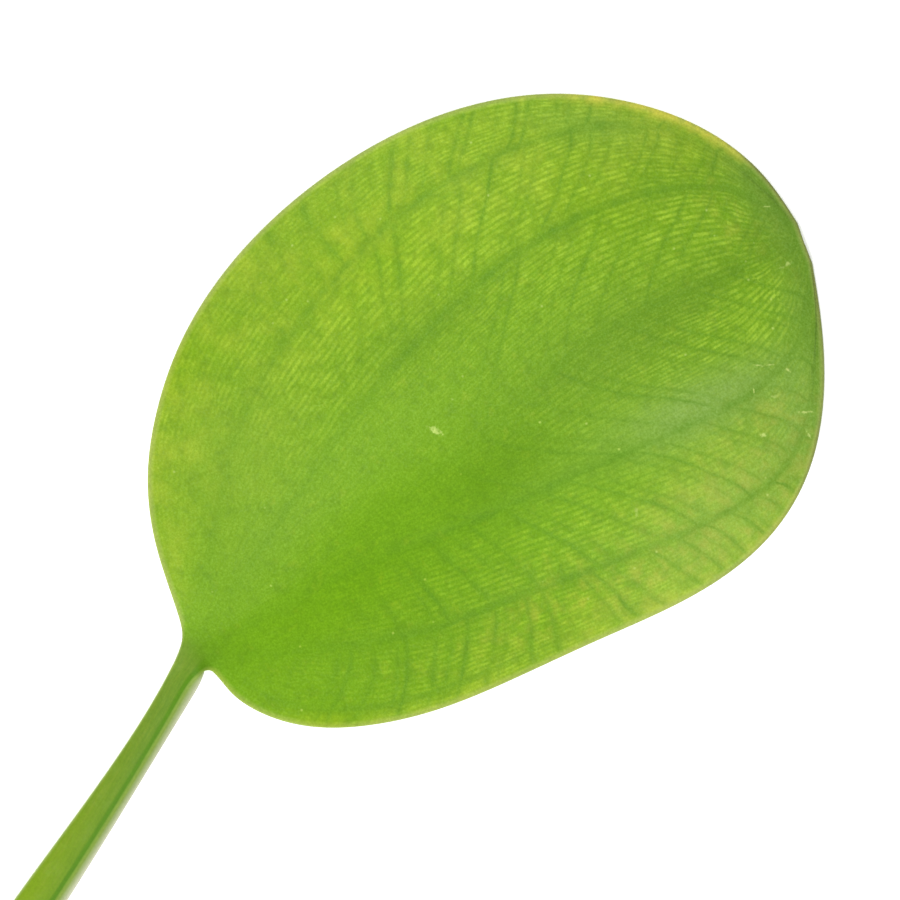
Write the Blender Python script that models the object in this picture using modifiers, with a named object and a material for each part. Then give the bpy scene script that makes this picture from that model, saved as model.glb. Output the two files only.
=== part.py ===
"""Amazon frogbit leaf, picked and lying face up on a level surface: a broad, lopsided, round blade
with arching veins, on a keeled stalk that ends in a plain cut.

The leaf is drawn in its own plan, in millimetres: Y runs from the foot of the blade to its tip, X to
the right of the midrib as seen from above, Z up from the surface that the leaf lies on. At the end
the whole leaf is moved so that the middle of its outer box, at the surface, is the origin.
"""

import math

import bmesh
import bpy
import numpy as np

MM = 0.001
COLLECTION = "amazon_frogbit_leaf"

# Blade plan: each guide line runs from the foot of the blade to its tip. The blade is 50 mm long.
MARGIN_LEFT = [
    (-1.61, 0.09), (-2.7, 0.45), (-4.6, 1.0), (-7.75, 2.0), (-11.6, 4.0), (-15.0, 7.0), (-18.05, 11.0),
    (-20.68, 17.0), (-22.0, 27.0), (-20.8, 35.0), (-18.1, 41.0), (-14.85, 45.0), (-10.1, 48.5),
    (-5.4, 50.0), (-1.5, 50.1),
]
SECOND_VEIN_LEFT = [
    (-1.1, 0.2), (-5.3, 4.9), (-11.2, 11.2), (-14.9, 19.0), (-17.0, 28.5), (-16.2, 37.5), (-12.4, 45.4),
    (-5.6, 49.2), (-1.05, 49.98),
]
FIRST_VEIN_LEFT = [
    (-0.6, 0.25), (-2.9, 6.5), (-6.1, 14.4), (-9.3, 25.0), (-10.3, 33.0), (-9.2, 41.5), (-5.4, 47.9),
    (-0.62, 49.86),
]
MIDRIB = [
    (-0.15, 0.25), (-0.45, 10.0), (-1.05, 20.5), (-2.1, 28.5), (-2.6, 35.0), (-2.0, 40.5), (-0.95, 46.0),
    (-0.2, 49.75),
]
FIRST_VEIN_RIGHT = [
    (0.3, 0.25), (1.0, 9.6), (2.6, 18.0), (4.3, 28.0), (5.6, 36.0), (5.9, 41.5), (3.9, 46.0), (0.3, 49.64),
]
SECOND_VEIN_RIGHT = [
    (0.75, 0.2), (4.1, 6.6), (7.6, 14.0), (9.9, 23.0), (11.6, 32.5), (11.4, 39.5), (8.2, 44.1),
    (4.0, 47.3), (0.8, 49.53),
]
MARGIN_RIGHT = [
    (1.12, 0.14), (2.3, 0.38), (3.65, 0.55), (4.95, 1.0), (6.6, 2.0), (8.67, 4.0), (10.56, 7.0),
    (12.17, 11.0), (13.5, 17.0), (14.49, 23.0), (15.62, 31.0), (15.0, 37.0), (13.13, 41.0), (9.3, 45.0),
    (4.4, 48.0), (1.32, 49.42),
]
GUIDES = [
    MARGIN_LEFT, SECOND_VEIN_LEFT, FIRST_VEIN_LEFT, MIDRIB, FIRST_VEIN_RIGHT, SECOND_VEIN_RIGHT,
    MARGIN_RIGHT,
]
MARGIN_LABEL = 3
GUIDE_LABELS = range(-MARGIN_LABEL, MARGIN_LABEL + 1)

# Blade heights in millimetres, against the fraction of the way from foot to tip.
MIDRIB_HEIGHT = [
    (0, 1.7), (0.12, 1.75), (0.25, 2.05), (0.4, 2.65), (0.55, 3.05), (0.7, 2.9), (0.85, 1.95), (1, 0.56),
]
LIFT_LEFT = [
    (0, 1.25), (0.08, 2.2), (0.16, 2.5), (0.26, 1.9), (0.36, 0.8), (0.47, 0), (0.58, 0.2), (0.7, 0.55),
    (0.82, 0.25), (0.92, 0), (1, 0.05),
]
LIFT_RIGHT = [
    (0, 1.25), (0.08, 1.8), (0.18, 1.75), (0.3, 0.95), (0.42, 0.2), (0.5, 0), (0.62, 0.4), (0.72, 0.7),
    (0.85, 0.15), (0.93, 0), (1, 0.05),
]
FOLD_AT_FOOT = 1.15
FOLD_AT_TIP = 1.9
FOLD_FADES_OVER = 0.5

# Blade thickness in millimetres, measured down from the upper face.
BLADE_THICKNESS = 0.5
MARGIN_THICKNESS = 0.4
RIB_DEPTH = 0.15
RIB_HALF_WIDTH = 0.06
KEEL_DEPTH = [(0, 0.6), (0.1, 0.55), (0.3, 0.35), (0.6, 0.2), (1, 0.05)]
KEEL_HALF_WIDTH = [(0, 1.4), (0.1, 1.1), (0.3, 0.8), (0.6, 0.7), (1, 0.3)]
THICKEST = 1.2

# Blade mesh: columns run along the veins, closer together beside each vein.
HALF_COLUMNS = [0.1, 0.25, 0.5, 0.75, 0.93, 1, 1.07, 1.3, 1.6, 1.93, 2, 2.07, 2.4, 2.7, 2.88, 3]
ROWS = 38
ROW_CROWDING = 0.4

# Stalk: middle x and y, half width, turn of the cross line from X in degrees, angle of the right
# ridge in degrees, half height, and how far the keel is lifted off the surface.
STALK_STATIONS = [
    (0.05, -0.22, 1.4, 2, 12, 0.95, 0.62),
    (0.46, -0.7, 1.2, 10, 40, 0.95, 0.45),
    (0.95, -1.49, 1.12, 23, 60, 0.93, 0.2),
    (1.62, -2.81, 1.09, 24, 64, 0.9, 0.05),
    (4.79, -9.87, 1.19, 23, 56, 1.0, 0),
    (8.09, -17.93, 1.5, 22.5, 54, 1.27, 0),
    (11.89, -27.33, 1.62, 22.5, 54, 1.36, 0),
]
LEFT_RIDGE_DEG = 168
KEEL_FLAT = 0.93
CHANNEL_DEPTH = 0.1
STALK_RINGS = 34
STALK_CROWDING = 1.6
KEEL_POINTS = 16
TOP_POINTS = 6

LINE_STEPS = 400
SHARP_DEG = 40

BLADE_GREEN = (0.235, 0.43, 0.034)
BLADE_ROUGHNESS = 0.42
STALK_GREEN = (0.2, 0.34, 0.05)
STALK_ROUGHNESS = 0.38


def spline(knots, values, at):
    """Natural cubic spline through the values at the knots, read at the places given."""
    knots = np.asarray(knots, float)
    values = np.asarray(values, float).reshape(len(knots), -1)
    at = np.asarray(at, float)
    step = np.diff(knots)[:, None]
    slope = np.diff(values, axis=0) / step
    matrix = np.eye(len(knots))
    turn = np.zeros_like(values)
    for i in range(1, len(knots) - 1):
        before, after = step[i - 1, 0], step[i, 0]
        matrix[i, i - 1 : i + 2] = before, 2 * (before + after), after
        turn[i] = 6 * (slope[i] - slope[i - 1])
    bend = np.linalg.solve(matrix, turn)
    left = np.clip(np.searchsorted(knots, at, side="right") - 1, 0, len(knots) - 2)
    run = (at - knots[left])[:, None]
    start = slope[left] - step[left] * (2 * bend[left] + bend[left + 1]) / 6
    rate = (bend[left + 1] - bend[left]) / (6 * step[left])
    return values[left] + run * (start + run * (bend[left] / 2 + run * rate))


def profile(pairs, at):
    """Read a list of (place, value) pairs as a smooth curve."""
    knots, values = zip(*pairs)
    return spline(knots, values, at)[:, 0]


def along_line(points, fractions):
    """Points of a smooth line at these fractions of its length."""
    points = np.asarray(points, float)
    chord = np.r_[0, np.cumsum(np.linalg.norm(np.diff(points, axis=0), axis=1))]
    fine = spline(chord, points, np.linspace(0, chord[-1], LINE_STEPS))
    length = np.r_[0, np.cumsum(np.linalg.norm(np.diff(fine, axis=0), axis=1))]
    wanted = np.asarray(fractions) * length[-1]
    return np.stack([np.interp(wanted, length, fine[:, axis]) for axis in (0, 1)], axis=1)


def row_fractions():
    """Fractions from foot to tip at which the blade has a row, closer together at both ends."""
    even = np.linspace(0, 1, ROWS + 1)
    crowded = (1 - np.cos(math.pi * even)) / 2
    return (1 - ROW_CROWDING) * even + ROW_CROWDING * crowded


def column_labels():
    """Label of each column across the blade: 0 on the midrib, 1 and 2 on the veins, 3 on the margin."""
    half = np.array(HALF_COLUMNS)
    return np.r_[-half[::-1], 0, half]


def blade_plan(fractions, labels):
    """Plan of the blade: the x and y of every row and column, and how far each is out to its margin."""
    guides = np.stack([along_line(points, fractions) for points in GUIDES], axis=1)
    plan = np.stack([spline(GUIDE_LABELS, row, labels) for row in guides])
    from_midrib = np.linalg.norm(plan - guides[:, MARGIN_LABEL : MARGIN_LABEL + 1], axis=2)
    reach = np.where(labels < 0, from_midrib[:, :1], from_midrib[:, -1:])
    return plan, from_midrib, from_midrib / reach


def blade_height(fractions, labels, out):
    """Height of the upper face: a shallow fold at the foot that opens into a low dome."""
    middle = profile(MIDRIB_HEIGHT, fractions)[:, None]
    left = np.maximum(profile(LIFT_LEFT, fractions), 0)[:, None]
    right = np.maximum(profile(LIFT_RIGHT, fractions), 0)[:, None]
    edge = np.where(labels < 0, left, right) + MARGIN_THICKNESS
    opened = np.clip(fractions / FOLD_FADES_OVER, 0, 1)[:, None]
    power = FOLD_AT_FOOT + (FOLD_AT_TIP - FOLD_AT_FOOT) * opened
    return middle + (edge - middle) * out**power


def blade_thickness(fractions, labels, from_midrib, out):
    """Thickness of the blade: a keel under the midrib, a low rib under each vein, thin at the margin."""
    depth = profile(KEEL_DEPTH, fractions)[:, None]
    half_width = profile(KEEL_HALF_WIDTH, fractions)[:, None]
    keel = depth * np.sqrt(np.clip(1 - (from_midrib / half_width) ** 2, 0, 1))
    from_vein = np.minimum(abs(abs(labels) - 1), abs(abs(labels) - 2))
    rib = RIB_DEPTH * np.clip(1 - from_vein / RIB_HALF_WIDTH, 0, 1) * np.sin(math.pi * fractions)[:, None]
    plain = BLADE_THICKNESS + (MARGIN_THICKNESS - BLADE_THICKNESS) * out**2
    return plain + keel + rib


def make_blade(collection, material):
    """The blade: a grid laid along the veins, bent to its heights, and thickened downwards."""
    fractions = row_fractions()
    labels = column_labels()
    plan, from_midrib, out = blade_plan(fractions, labels)
    height = blade_height(fractions, labels, out)
    thickness = blade_thickness(fractions, labels, from_midrib, out)
    columns = len(labels) - 1

    shape = bmesh.new()
    bmesh.ops.create_grid(shape, x_segments=columns, y_segments=ROWS, size=1)
    weights = []
    for vertex in shape.verts:
        column = round((vertex.co.x + 1) / 2 * columns)
        row = round((vertex.co.y + 1) / 2 * ROWS)
        x, y = plan[row, column]
        vertex.co = (x * MM, y * MM, height[row, column] * MM)
        weights.append(thickness[row, column] / THICKEST)
    blade = add_object("leaf_blade", shape, collection, material)

    group = blade.vertex_groups.new(name="thickness")
    for index, weight in enumerate(weights):
        group.add([index], weight, "REPLACE")
    solidify = blade.modifiers.new("thickness", "SOLIDIFY")
    solidify.thickness = THICKEST * MM
    solidify.offset = -1
    solidify.vertex_group = group.name
    return blade


def stalk_ring(station):
    """Points around the stalk: a round keel, flat where it lies, cut off on top between two ridges."""
    x, y, half_width, turn_deg, ridge_deg, half_height, lift = station
    angles = np.radians(np.linspace(ridge_deg, LEFT_RIDGE_DEG - 360, KEEL_POINTS))
    across = np.cos(angles) * half_width
    up = np.maximum(np.sin(angles), -KEEL_FLAT) * half_height
    share = np.linspace(0, 1, TOP_POINTS + 2)[1:-1]
    top_across = across[-1] + (across[0] - across[-1]) * share
    top_up = up[-1] + (up[0] - up[-1]) * share - CHANNEL_DEPTH * 4 * share * (1 - share)
    across = np.r_[across, top_across]
    up = np.r_[up, top_up] + KEEL_FLAT * half_height + max(lift, 0)
    turn = math.radians(turn_deg)
    return np.stack([x + across * math.cos(turn), y + across * math.sin(turn), up], axis=1) * MM


def make_stalk(collection, material):
    """The stalk: a loft from the wide, level head under the blade to the keeled, tilted cut end."""
    stations = np.array(STALK_STATIONS)
    chord = np.r_[0, np.cumsum(np.linalg.norm(np.diff(stations[:, :2], axis=0), axis=1))]
    crowd = np.linspace(0, 1, STALK_RINGS) ** STALK_CROWDING
    rings = [stalk_ring(station) for station in spline(chord, stations, crowd * chord[-1])]

    shape = bmesh.new()
    loops = [[shape.verts.new(point) for point in ring] for ring in rings]
    for near, far in zip(loops, loops[1:]):
        for i in range(len(near)):
            shape.faces.new((near[i - 1], near[i], far[i], far[i - 1]))
    shape.faces.new(loops[0])
    shape.faces.new(reversed(loops[-1]))
    bmesh.ops.recalc_face_normals(shape, faces=shape.faces)
    return add_object("leaf_stalk", shape, collection, material)


def add_object(name, shape, collection, material):
    """Turn a finished bmesh into a named, smooth-shaded object in the collection."""
    mesh = bpy.data.meshes.new(name)
    shape.to_mesh(mesh)
    shape.free()
    mesh.materials.append(material)
    mesh.shade_smooth()
    mesh.set_sharp_from_angle(angle=math.radians(SHARP_DEG))
    item = bpy.data.objects.new(name, mesh)
    collection.objects.link(item)
    return item


def leaf_material(name, colour, roughness):
    """A waxy leaf green."""
    material = bpy.data.materials.new(name)
    material.use_nodes = True
    shader = material.node_tree.nodes["Principled BSDF"]
    shader.inputs["Base Color"].default_value = (*colour, 1)
    shader.inputs["Roughness"].default_value = roughness
    shader.inputs["Metallic"].default_value = 0
    return material


def centre_on_surface(items):
    """Move the pieces together, so that the middle of their outer box, at its base, is the origin."""
    bpy.context.view_layer.update()
    depsgraph = bpy.context.evaluated_depsgraph_get()
    points = []
    for item in items:
        mesh = item.evaluated_get(depsgraph).to_mesh()
        points += [vertex.co.copy() for vertex in mesh.vertices]
    low = np.min(points, axis=0)
    high = np.max(points, axis=0)
    middle = (low + high) / 2
    for item in items:
        item.location = (-middle[0], -middle[1], -low[2])


def main():
    for item in list(bpy.data.objects):
        bpy.data.objects.remove(item, do_unlink=True)
    collection = bpy.data.collections.new(COLLECTION)
    bpy.context.scene.collection.children.link(collection)
    blade = make_blade(collection, leaf_material("blade_green", BLADE_GREEN, BLADE_ROUGHNESS))
    stalk = make_stalk(collection, leaf_material("stalk_green", STALK_GREEN, STALK_ROUGHNESS))
    centre_on_surface([blade, stalk])


main()
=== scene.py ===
"""The looks of a picked amazon frogbit leaf: its blade, its stalk, and a soft white studio round it.

The blade and the stalk grew as one, so both are laid out together as rings of points round the leaf, from
the cut end of the stalk to the tip of the blade, and parted where the stalk meets the blade. Shapes are in
the leaf's own plan, in millimetres: Y runs from the foot of the blade to its tip, X to the right of the
midrib seen from above, Z up from the floor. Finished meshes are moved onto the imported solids, in metres.
"""

import logging
import math
from dataclasses import dataclass, field
from enum import Enum, IntEnum
from typing import Optional, Union

import bpy
import numpy as np
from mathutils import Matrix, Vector, noise


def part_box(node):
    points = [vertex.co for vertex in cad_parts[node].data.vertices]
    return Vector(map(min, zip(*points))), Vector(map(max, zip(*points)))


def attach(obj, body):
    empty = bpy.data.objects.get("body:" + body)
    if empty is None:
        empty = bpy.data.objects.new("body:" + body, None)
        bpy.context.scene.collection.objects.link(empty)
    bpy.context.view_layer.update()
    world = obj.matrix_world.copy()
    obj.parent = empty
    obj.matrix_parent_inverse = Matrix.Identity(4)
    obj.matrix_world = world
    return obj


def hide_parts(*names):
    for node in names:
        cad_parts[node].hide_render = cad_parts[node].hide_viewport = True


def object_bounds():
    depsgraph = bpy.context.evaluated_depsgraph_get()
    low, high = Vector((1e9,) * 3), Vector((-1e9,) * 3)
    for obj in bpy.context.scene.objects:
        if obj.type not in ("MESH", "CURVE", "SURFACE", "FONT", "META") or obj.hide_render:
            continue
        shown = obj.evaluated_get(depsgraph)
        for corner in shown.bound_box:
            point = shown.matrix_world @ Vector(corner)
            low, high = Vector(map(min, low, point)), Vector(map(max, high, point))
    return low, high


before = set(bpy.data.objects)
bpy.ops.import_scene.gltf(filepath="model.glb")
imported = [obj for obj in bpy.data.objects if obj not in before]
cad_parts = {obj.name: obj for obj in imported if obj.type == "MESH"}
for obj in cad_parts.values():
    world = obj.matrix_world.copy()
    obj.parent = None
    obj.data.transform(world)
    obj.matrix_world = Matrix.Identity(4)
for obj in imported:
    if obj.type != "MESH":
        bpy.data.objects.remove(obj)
CAD_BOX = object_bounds()

MM = 0.001
TINY = 1e-12
LINE_SAMPLES = 1200
HONEYCOMB_ROW = math.sqrt(3) / 2

Array = np.ndarray
Pair = tuple[float, float]
Line = tuple[Pair, ...]
# The two ends of the range that a value is read in, then what they are turned to.
Span = tuple[float, float, float, float]
# Clumps to a millimetre, then how much finer detail they have, and how strong it is.
Pattern = tuple[float, ...]
Value = Union[bpy.types.NodeSocket, float, tuple, None]

TONES = ("deep", "shade", "ripe", "rosy", "bloom", "bare", "pitted", "withered", "browned")
READINGS = (
    "label", "run", "spread", "way", "joined", "band", "margin_vein", "rim", "upper", "stalk", "round", *TONES
)
SMOOTH = {"interpolation_type": "SMOOTHSTEP"}

log = logging.getLogger("frogbit_leaf")


class Piece(Enum):
    """The two pieces of the leaf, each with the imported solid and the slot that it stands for."""

    BLADE = ("leaf_blade", "blade")
    STALK = ("leaf_stalk", "stalk")

    @property
    def node(self) -> str:
        """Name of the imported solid."""
        return self.value[0]

    @property
    def slot(self) -> str:
        """Name of the record's material slot."""
        return self.value[1]


def linear(code: str) -> tuple[float, float, float, float]:
    """Turn an sRGB hex colour to linear light.

    Args:
        code: six hex digits after a hash.

    Returns:
        Linear red, green, blue and an alpha of one.
    """
    shares = [int(code[i : i + 2], 16) / 255 for i in (1, 3, 5)]
    light = [s / 12.92 if s <= 0.04045 else ((s + 0.055) / 1.055) ** 2.4 for s in shares]
    return (light[0], light[1], light[2], 1.0)


def spline(knots: Array, values: Array, at: Array) -> Array:
    """Natural cubic spline through the values at the knots.

    Args:
        knots: rising places of the values.
        values: one row for each knot.
        at: places to read.

    Returns:
        One row for each place read.
    """
    knots = np.asarray(knots, float)
    values = np.asarray(values, float).reshape(len(knots), -1)
    at = np.asarray(at, float)
    step = np.diff(knots)[:, None]
    slope = np.diff(values, axis=0) / step
    matrix = np.eye(len(knots))
    turn = np.zeros_like(values)
    for i in range(1, len(knots) - 1):
        before, after = step[i - 1, 0], step[i, 0]
        matrix[i, i - 1 : i + 2] = before, 2 * (before + after), after
        turn[i] = 6 * (slope[i] - slope[i - 1])
    bend = np.linalg.solve(matrix, turn)
    left = np.clip(np.searchsorted(knots, at, side="right") - 1, 0, len(knots) - 2)
    run = (at - knots[left])[:, None]
    start = slope[left] - step[left] * (2 * bend[left] + bend[left + 1]) / 6
    rate = (bend[left + 1] - bend[left]) / (6 * step[left])
    return values[left] + run * (start + run * (bend[left] / 2 + run * rate))


def profile(pairs: Line, at: Array) -> Array:
    """Read (place, value) pairs as a smooth curve.

    Args:
        pairs: places and the values there.
        at: places to read.

    Returns:
        The curve's value at each place.
    """
    knots, values = zip(*pairs)
    return spline(knots, values, at)[:, 0]


def along_line(points: Line, fractions: Array) -> Array:
    """Points of a smooth line at these fractions of its length.

    Args:
        points: the points that the line runs through.
        fractions: shares of its length, from 0 to 1.

    Returns:
        One x and y for each fraction.
    """
    corners = np.asarray(points, float)
    chord = np.r_[0, np.cumsum(np.linalg.norm(np.diff(corners, axis=0), axis=1))]
    fine = spline(chord, corners, np.linspace(0, chord[-1], LINE_SAMPLES))
    length = np.r_[0, np.cumsum(np.linalg.norm(np.diff(fine, axis=0), axis=1))]
    wanted = np.asarray(fractions) * length[-1]
    return np.stack([np.interp(wanted, length, fine[:, axis]) for axis in (0, 1)], axis=1)


def ramp(value: Array, low: float, high: float) -> Array:
    """Smooth step from 0 at low to 1 at high, which may be the smaller of the two."""
    share = np.clip((value - low) / (high - low), 0, 1)
    return share * share * (3 - 2 * share)


def bell(value: Array, width: float) -> Array:
    """Smooth bump of height 1 at zero that has fallen to a third at the width."""
    return np.exp(-((value / width) ** 2))


def lumps(places: Array, size: float, seed: float) -> Array:
    """Smooth random field.

    Args:
        places: points in millimetres, three numbers each in the last axis.
        size: size of a lump in millimetres.
        seed: number that picks the field.

    Returns:
        A value from about -1 to 1 for each point.
    """
    flat = places.reshape(-1, 3) / size + np.array([seed, -seed, 2 * seed])
    values = np.fromiter((noise.noise(point) for point in flat.tolist()), float, len(flat))
    return values.reshape(places.shape[:-1])


@dataclass
class Blade:
    """Sizes of the blade in millimetres, and its two faces before their fine relief.

    A label says how far across the blade a place is: 0 on the midrib, 1 and 2 on the arching veins, 3 on the
    margin, and below zero on the left. A fraction says how far it is from the foot to the tip.
    """

    margin_left: Line = (
        (-1.61, 0.09), (-2.7, 0.45), (-4.6, 1.0), (-7.75, 2.0), (-11.6, 4.0), (-15.0, 7.0), (-18.05, 11.0),
        (-20.68, 17.0), (-22.0, 27.0), (-20.8, 35.0), (-18.1, 41.0), (-14.85, 45.0), (-10.1, 48.5),
        (-5.4, 50.0), (-1.5, 50.1),
    )
    second_vein_left: Line = (
        (-1.1, 0.2), (-5.3, 4.9), (-11.2, 11.2), (-14.9, 19.0), (-17.0, 28.5), (-16.2, 37.5), (-12.4, 45.4),
        (-5.6, 49.2), (-1.05, 49.98),
    )
    first_vein_left: Line = (
        (-0.6, 0.25), (-2.9, 6.5), (-6.1, 14.4), (-9.3, 25.0), (-10.3, 33.0), (-9.2, 41.5), (-5.4, 47.9),
        (-0.62, 49.86),
    )
    midrib: Line = (
        (-0.15, 0.25), (-0.45, 10.0), (-1.05, 20.5), (-2.1, 28.5), (-2.6, 35.0), (-2.0, 40.5), (-0.95, 46.0),
        (-0.2, 49.75),
    )
    first_vein_right: Line = (
        (0.3, 0.25), (1.0, 9.6), (2.6, 18.0), (4.3, 28.0), (5.7, 36.0), (6.3, 41.0), (5.9, 43.9), (4.2, 46.8),
        (0.3, 49.64),
    )
    second_vein_right: Line = (
        (0.75, 0.2), (4.15, 6.75), (7.1, 12.9), (8.75, 19.15), (10.3, 25.55), (11.5, 31.15), (12.15, 36.1),
        (11.65, 40.3), (9.95, 43.1), (6.7, 46.0), (0.8, 49.53),
    )
    margin_right: Line = (
        (1.12, 0.14), (2.3, 0.38), (3.65, 0.55), (4.95, 1.0), (6.6, 2.0), (8.67, 4.0), (10.56, 7.0),
        (12.17, 11.0), (13.5, 17.0), (14.49, 23.0), (15.62, 31.0), (15.0, 37.0), (13.13, 41.0), (9.3, 45.0),
        (4.4, 48.0), (1.32, 49.42),
    )
    midrib_height: Line = (
        (0, 1.7), (0.12, 1.75), (0.25, 2.05), (0.4, 2.65), (0.55, 3.05), (0.7, 2.9), (0.85, 1.95), (1, 0.56),
    )
    lift_left: Line = (
        (0, 1.25), (0.08, 2.2), (0.16, 2.5), (0.26, 1.9), (0.36, 0.8), (0.47, 0), (0.58, 0.2), (0.7, 0.55),
        (0.82, 0.25), (0.92, 0), (1, 0.05),
    )
    lift_right: Line = (
        (0, 1.25), (0.08, 1.8), (0.18, 1.75), (0.3, 0.95), (0.42, 0.2), (0.5, 0), (0.62, 0.4), (0.72, 0.7),
        (0.85, 0.15), (0.93, 0), (1, 0.05),
    )
    margin_label: int = 3
    length: float = 50
    margin_face: float = 0.36
    fold_at_foot: float = 1.15
    fold_at_tip: float = 1.9
    fold_fades_over: float = 0.5
    margin_thickness: float = 0.3
    middle_thickness: float = 0.45
    keel_depth: Line = ((0, 0.6), (0.1, 0.55), (0.3, 0.35), (0.6, 0.2), (1, 0.05))
    keel_half_width: Line = ((0, 1.5), (0.1, 1.25), (0.3, 1.0), (0.6, 0.85), (1, 0.4))
    keel_roundness: float = 1.5
    rows: int = 200
    row_crowding: float = 0.5
    first_fraction: float = 0.012
    least_row_gap: float = 0.001
    columns_left: int = 33
    columns_right: int = 25
    rim_steps: tuple[float, ...] = (0, 0.012, 0.04, 0.08, 0.13, 0.19, 0.27)
    panel_width: float = 5.2

    @property
    def guides(self) -> list[Line]:
        """The lines with whole labels, from the left margin to the right one."""
        return [
            self.margin_left, self.second_vein_left, self.first_vein_left, self.midrib,
            self.first_vein_right, self.second_vein_right, self.margin_right,
        ]

    def labels(self) -> Array:
        """Labels of the columns across the blade, closer together just inside each margin.

        Returns:
            The labels from the left margin to the right one.
        """
        rim = self.margin_label - np.array(self.rim_steps[::-1]) / self.panel_width
        inner_left = np.arange(0, self.margin_label * self.columns_left) / self.columns_left
        inner_right = np.arange(1, self.margin_label * self.columns_right) / self.columns_right
        left = np.r_[inner_left[inner_left < rim[0]], rim]
        right = np.r_[inner_right[inner_right < rim[0]], rim]
        return np.r_[-left[::-1], right]

    def fractions(self) -> Array:
        """Fractions of the rows up the blade, closer together at both ends.

        Returns:
            The fractions from the foot to the tip.
        """
        even = np.linspace(0, 1, self.rows)
        crowded = (1 - np.cos(math.pi * even)) / 2
        share = (1 - self.row_crowding) * even + self.row_crowding * crowded
        inner = self.first_fraction + (1 - self.first_fraction) * share
        rim = np.array(self.rim_steps[::-1]) / self.length
        return np.r_[inner[inner < 1 - rim[0] - self.least_row_gap], 1 - rim]

    def plan(self, fractions: Array, labels: Array) -> tuple[Array, Array, Array]:
        """Plan of the blade.

        Args:
            fractions: fractions of the rows.
            labels: labels of the columns.

        Returns:
            The x and y of each place, its distance from the midrib, and that as a share of the way out.
        """
        guides = np.stack([along_line(points, fractions) for points in self.guides], axis=1)
        whole_labels = range(-self.margin_label, self.margin_label + 1)
        plan = np.stack([spline(whole_labels, row, labels) for row in guides])
        midrib = guides[:, whole_labels.index(0), None]
        from_midrib = np.linalg.norm(plan - midrib, axis=2)
        reach = np.where(labels < 0, from_midrib[:, :1], from_midrib[:, -1:])
        return plan, from_midrib, from_midrib / reach

    def margin_distance(self, plan: Array) -> Array:
        """Distance of each place from the margin, which is the first and last column and the last row.

        Args:
            plan: x and y of the rows and columns.

        Returns:
            Millimetres to the margin.
        """
        edge = np.concatenate([plan[:, 0], plan[-1, 1:], plan[-2::-1, -1]])
        start, way = edge[:-1], np.diff(edge, axis=0)
        square = np.maximum((way**2).sum(axis=1), TINY)
        rows = []
        for row in plan:
            share = np.clip(((row[:, None] - start) * way).sum(axis=2) / square, 0, 1)
            gap = row[:, None] - start - share[..., None] * way
            rows.append(np.sqrt((gap**2).sum(axis=2).min(axis=1)))
        return np.stack(rows)

    def faces(self, fractions: Array, labels: Array) -> tuple[Array, Array, Array]:
        """The upper and under faces, rounded together at the margin.

        Args:
            fractions: fractions of the rows.
            labels: labels of the columns.

        Returns:
            Points of the upper face, points of the under face, and the distance from the margin.
        """
        plan, from_midrib, out = self.plan(fractions, labels)
        middle = profile(self.midrib_height, fractions)[:, None]
        left = np.maximum(profile(self.lift_left, fractions), 0)[:, None]
        right = np.maximum(profile(self.lift_right, fractions), 0)[:, None]
        edge = np.where(labels < 0, left, right) + self.margin_face
        opened = np.clip(fractions / self.fold_fades_over, 0, 1)[:, None]
        power = self.fold_at_foot + (self.fold_at_tip - self.fold_at_foot) * opened
        height = middle + (edge - middle) * out**power

        depth = profile(self.keel_depth, fractions)[:, None]
        half_width = profile(self.keel_half_width, fractions)[:, None]
        keel = depth * np.clip(1 - (from_midrib / half_width) ** 2, 0, 1) ** self.keel_roundness
        plain = self.middle_thickness + (self.margin_thickness - self.middle_thickness) * out**2
        rim = self.margin_distance(plan)
        radius = self.margin_thickness / 2
        drop = radius * (1 - np.sqrt(1 - np.clip(1 - rim / radius, 0, 1) ** 2))
        under = np.maximum(height - plain - keel, 0)
        upper_face = np.dstack([plan, height - drop])
        under_face = np.dstack([plan, np.minimum(under + drop, height - drop)])
        return upper_face, under_face, rim


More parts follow.
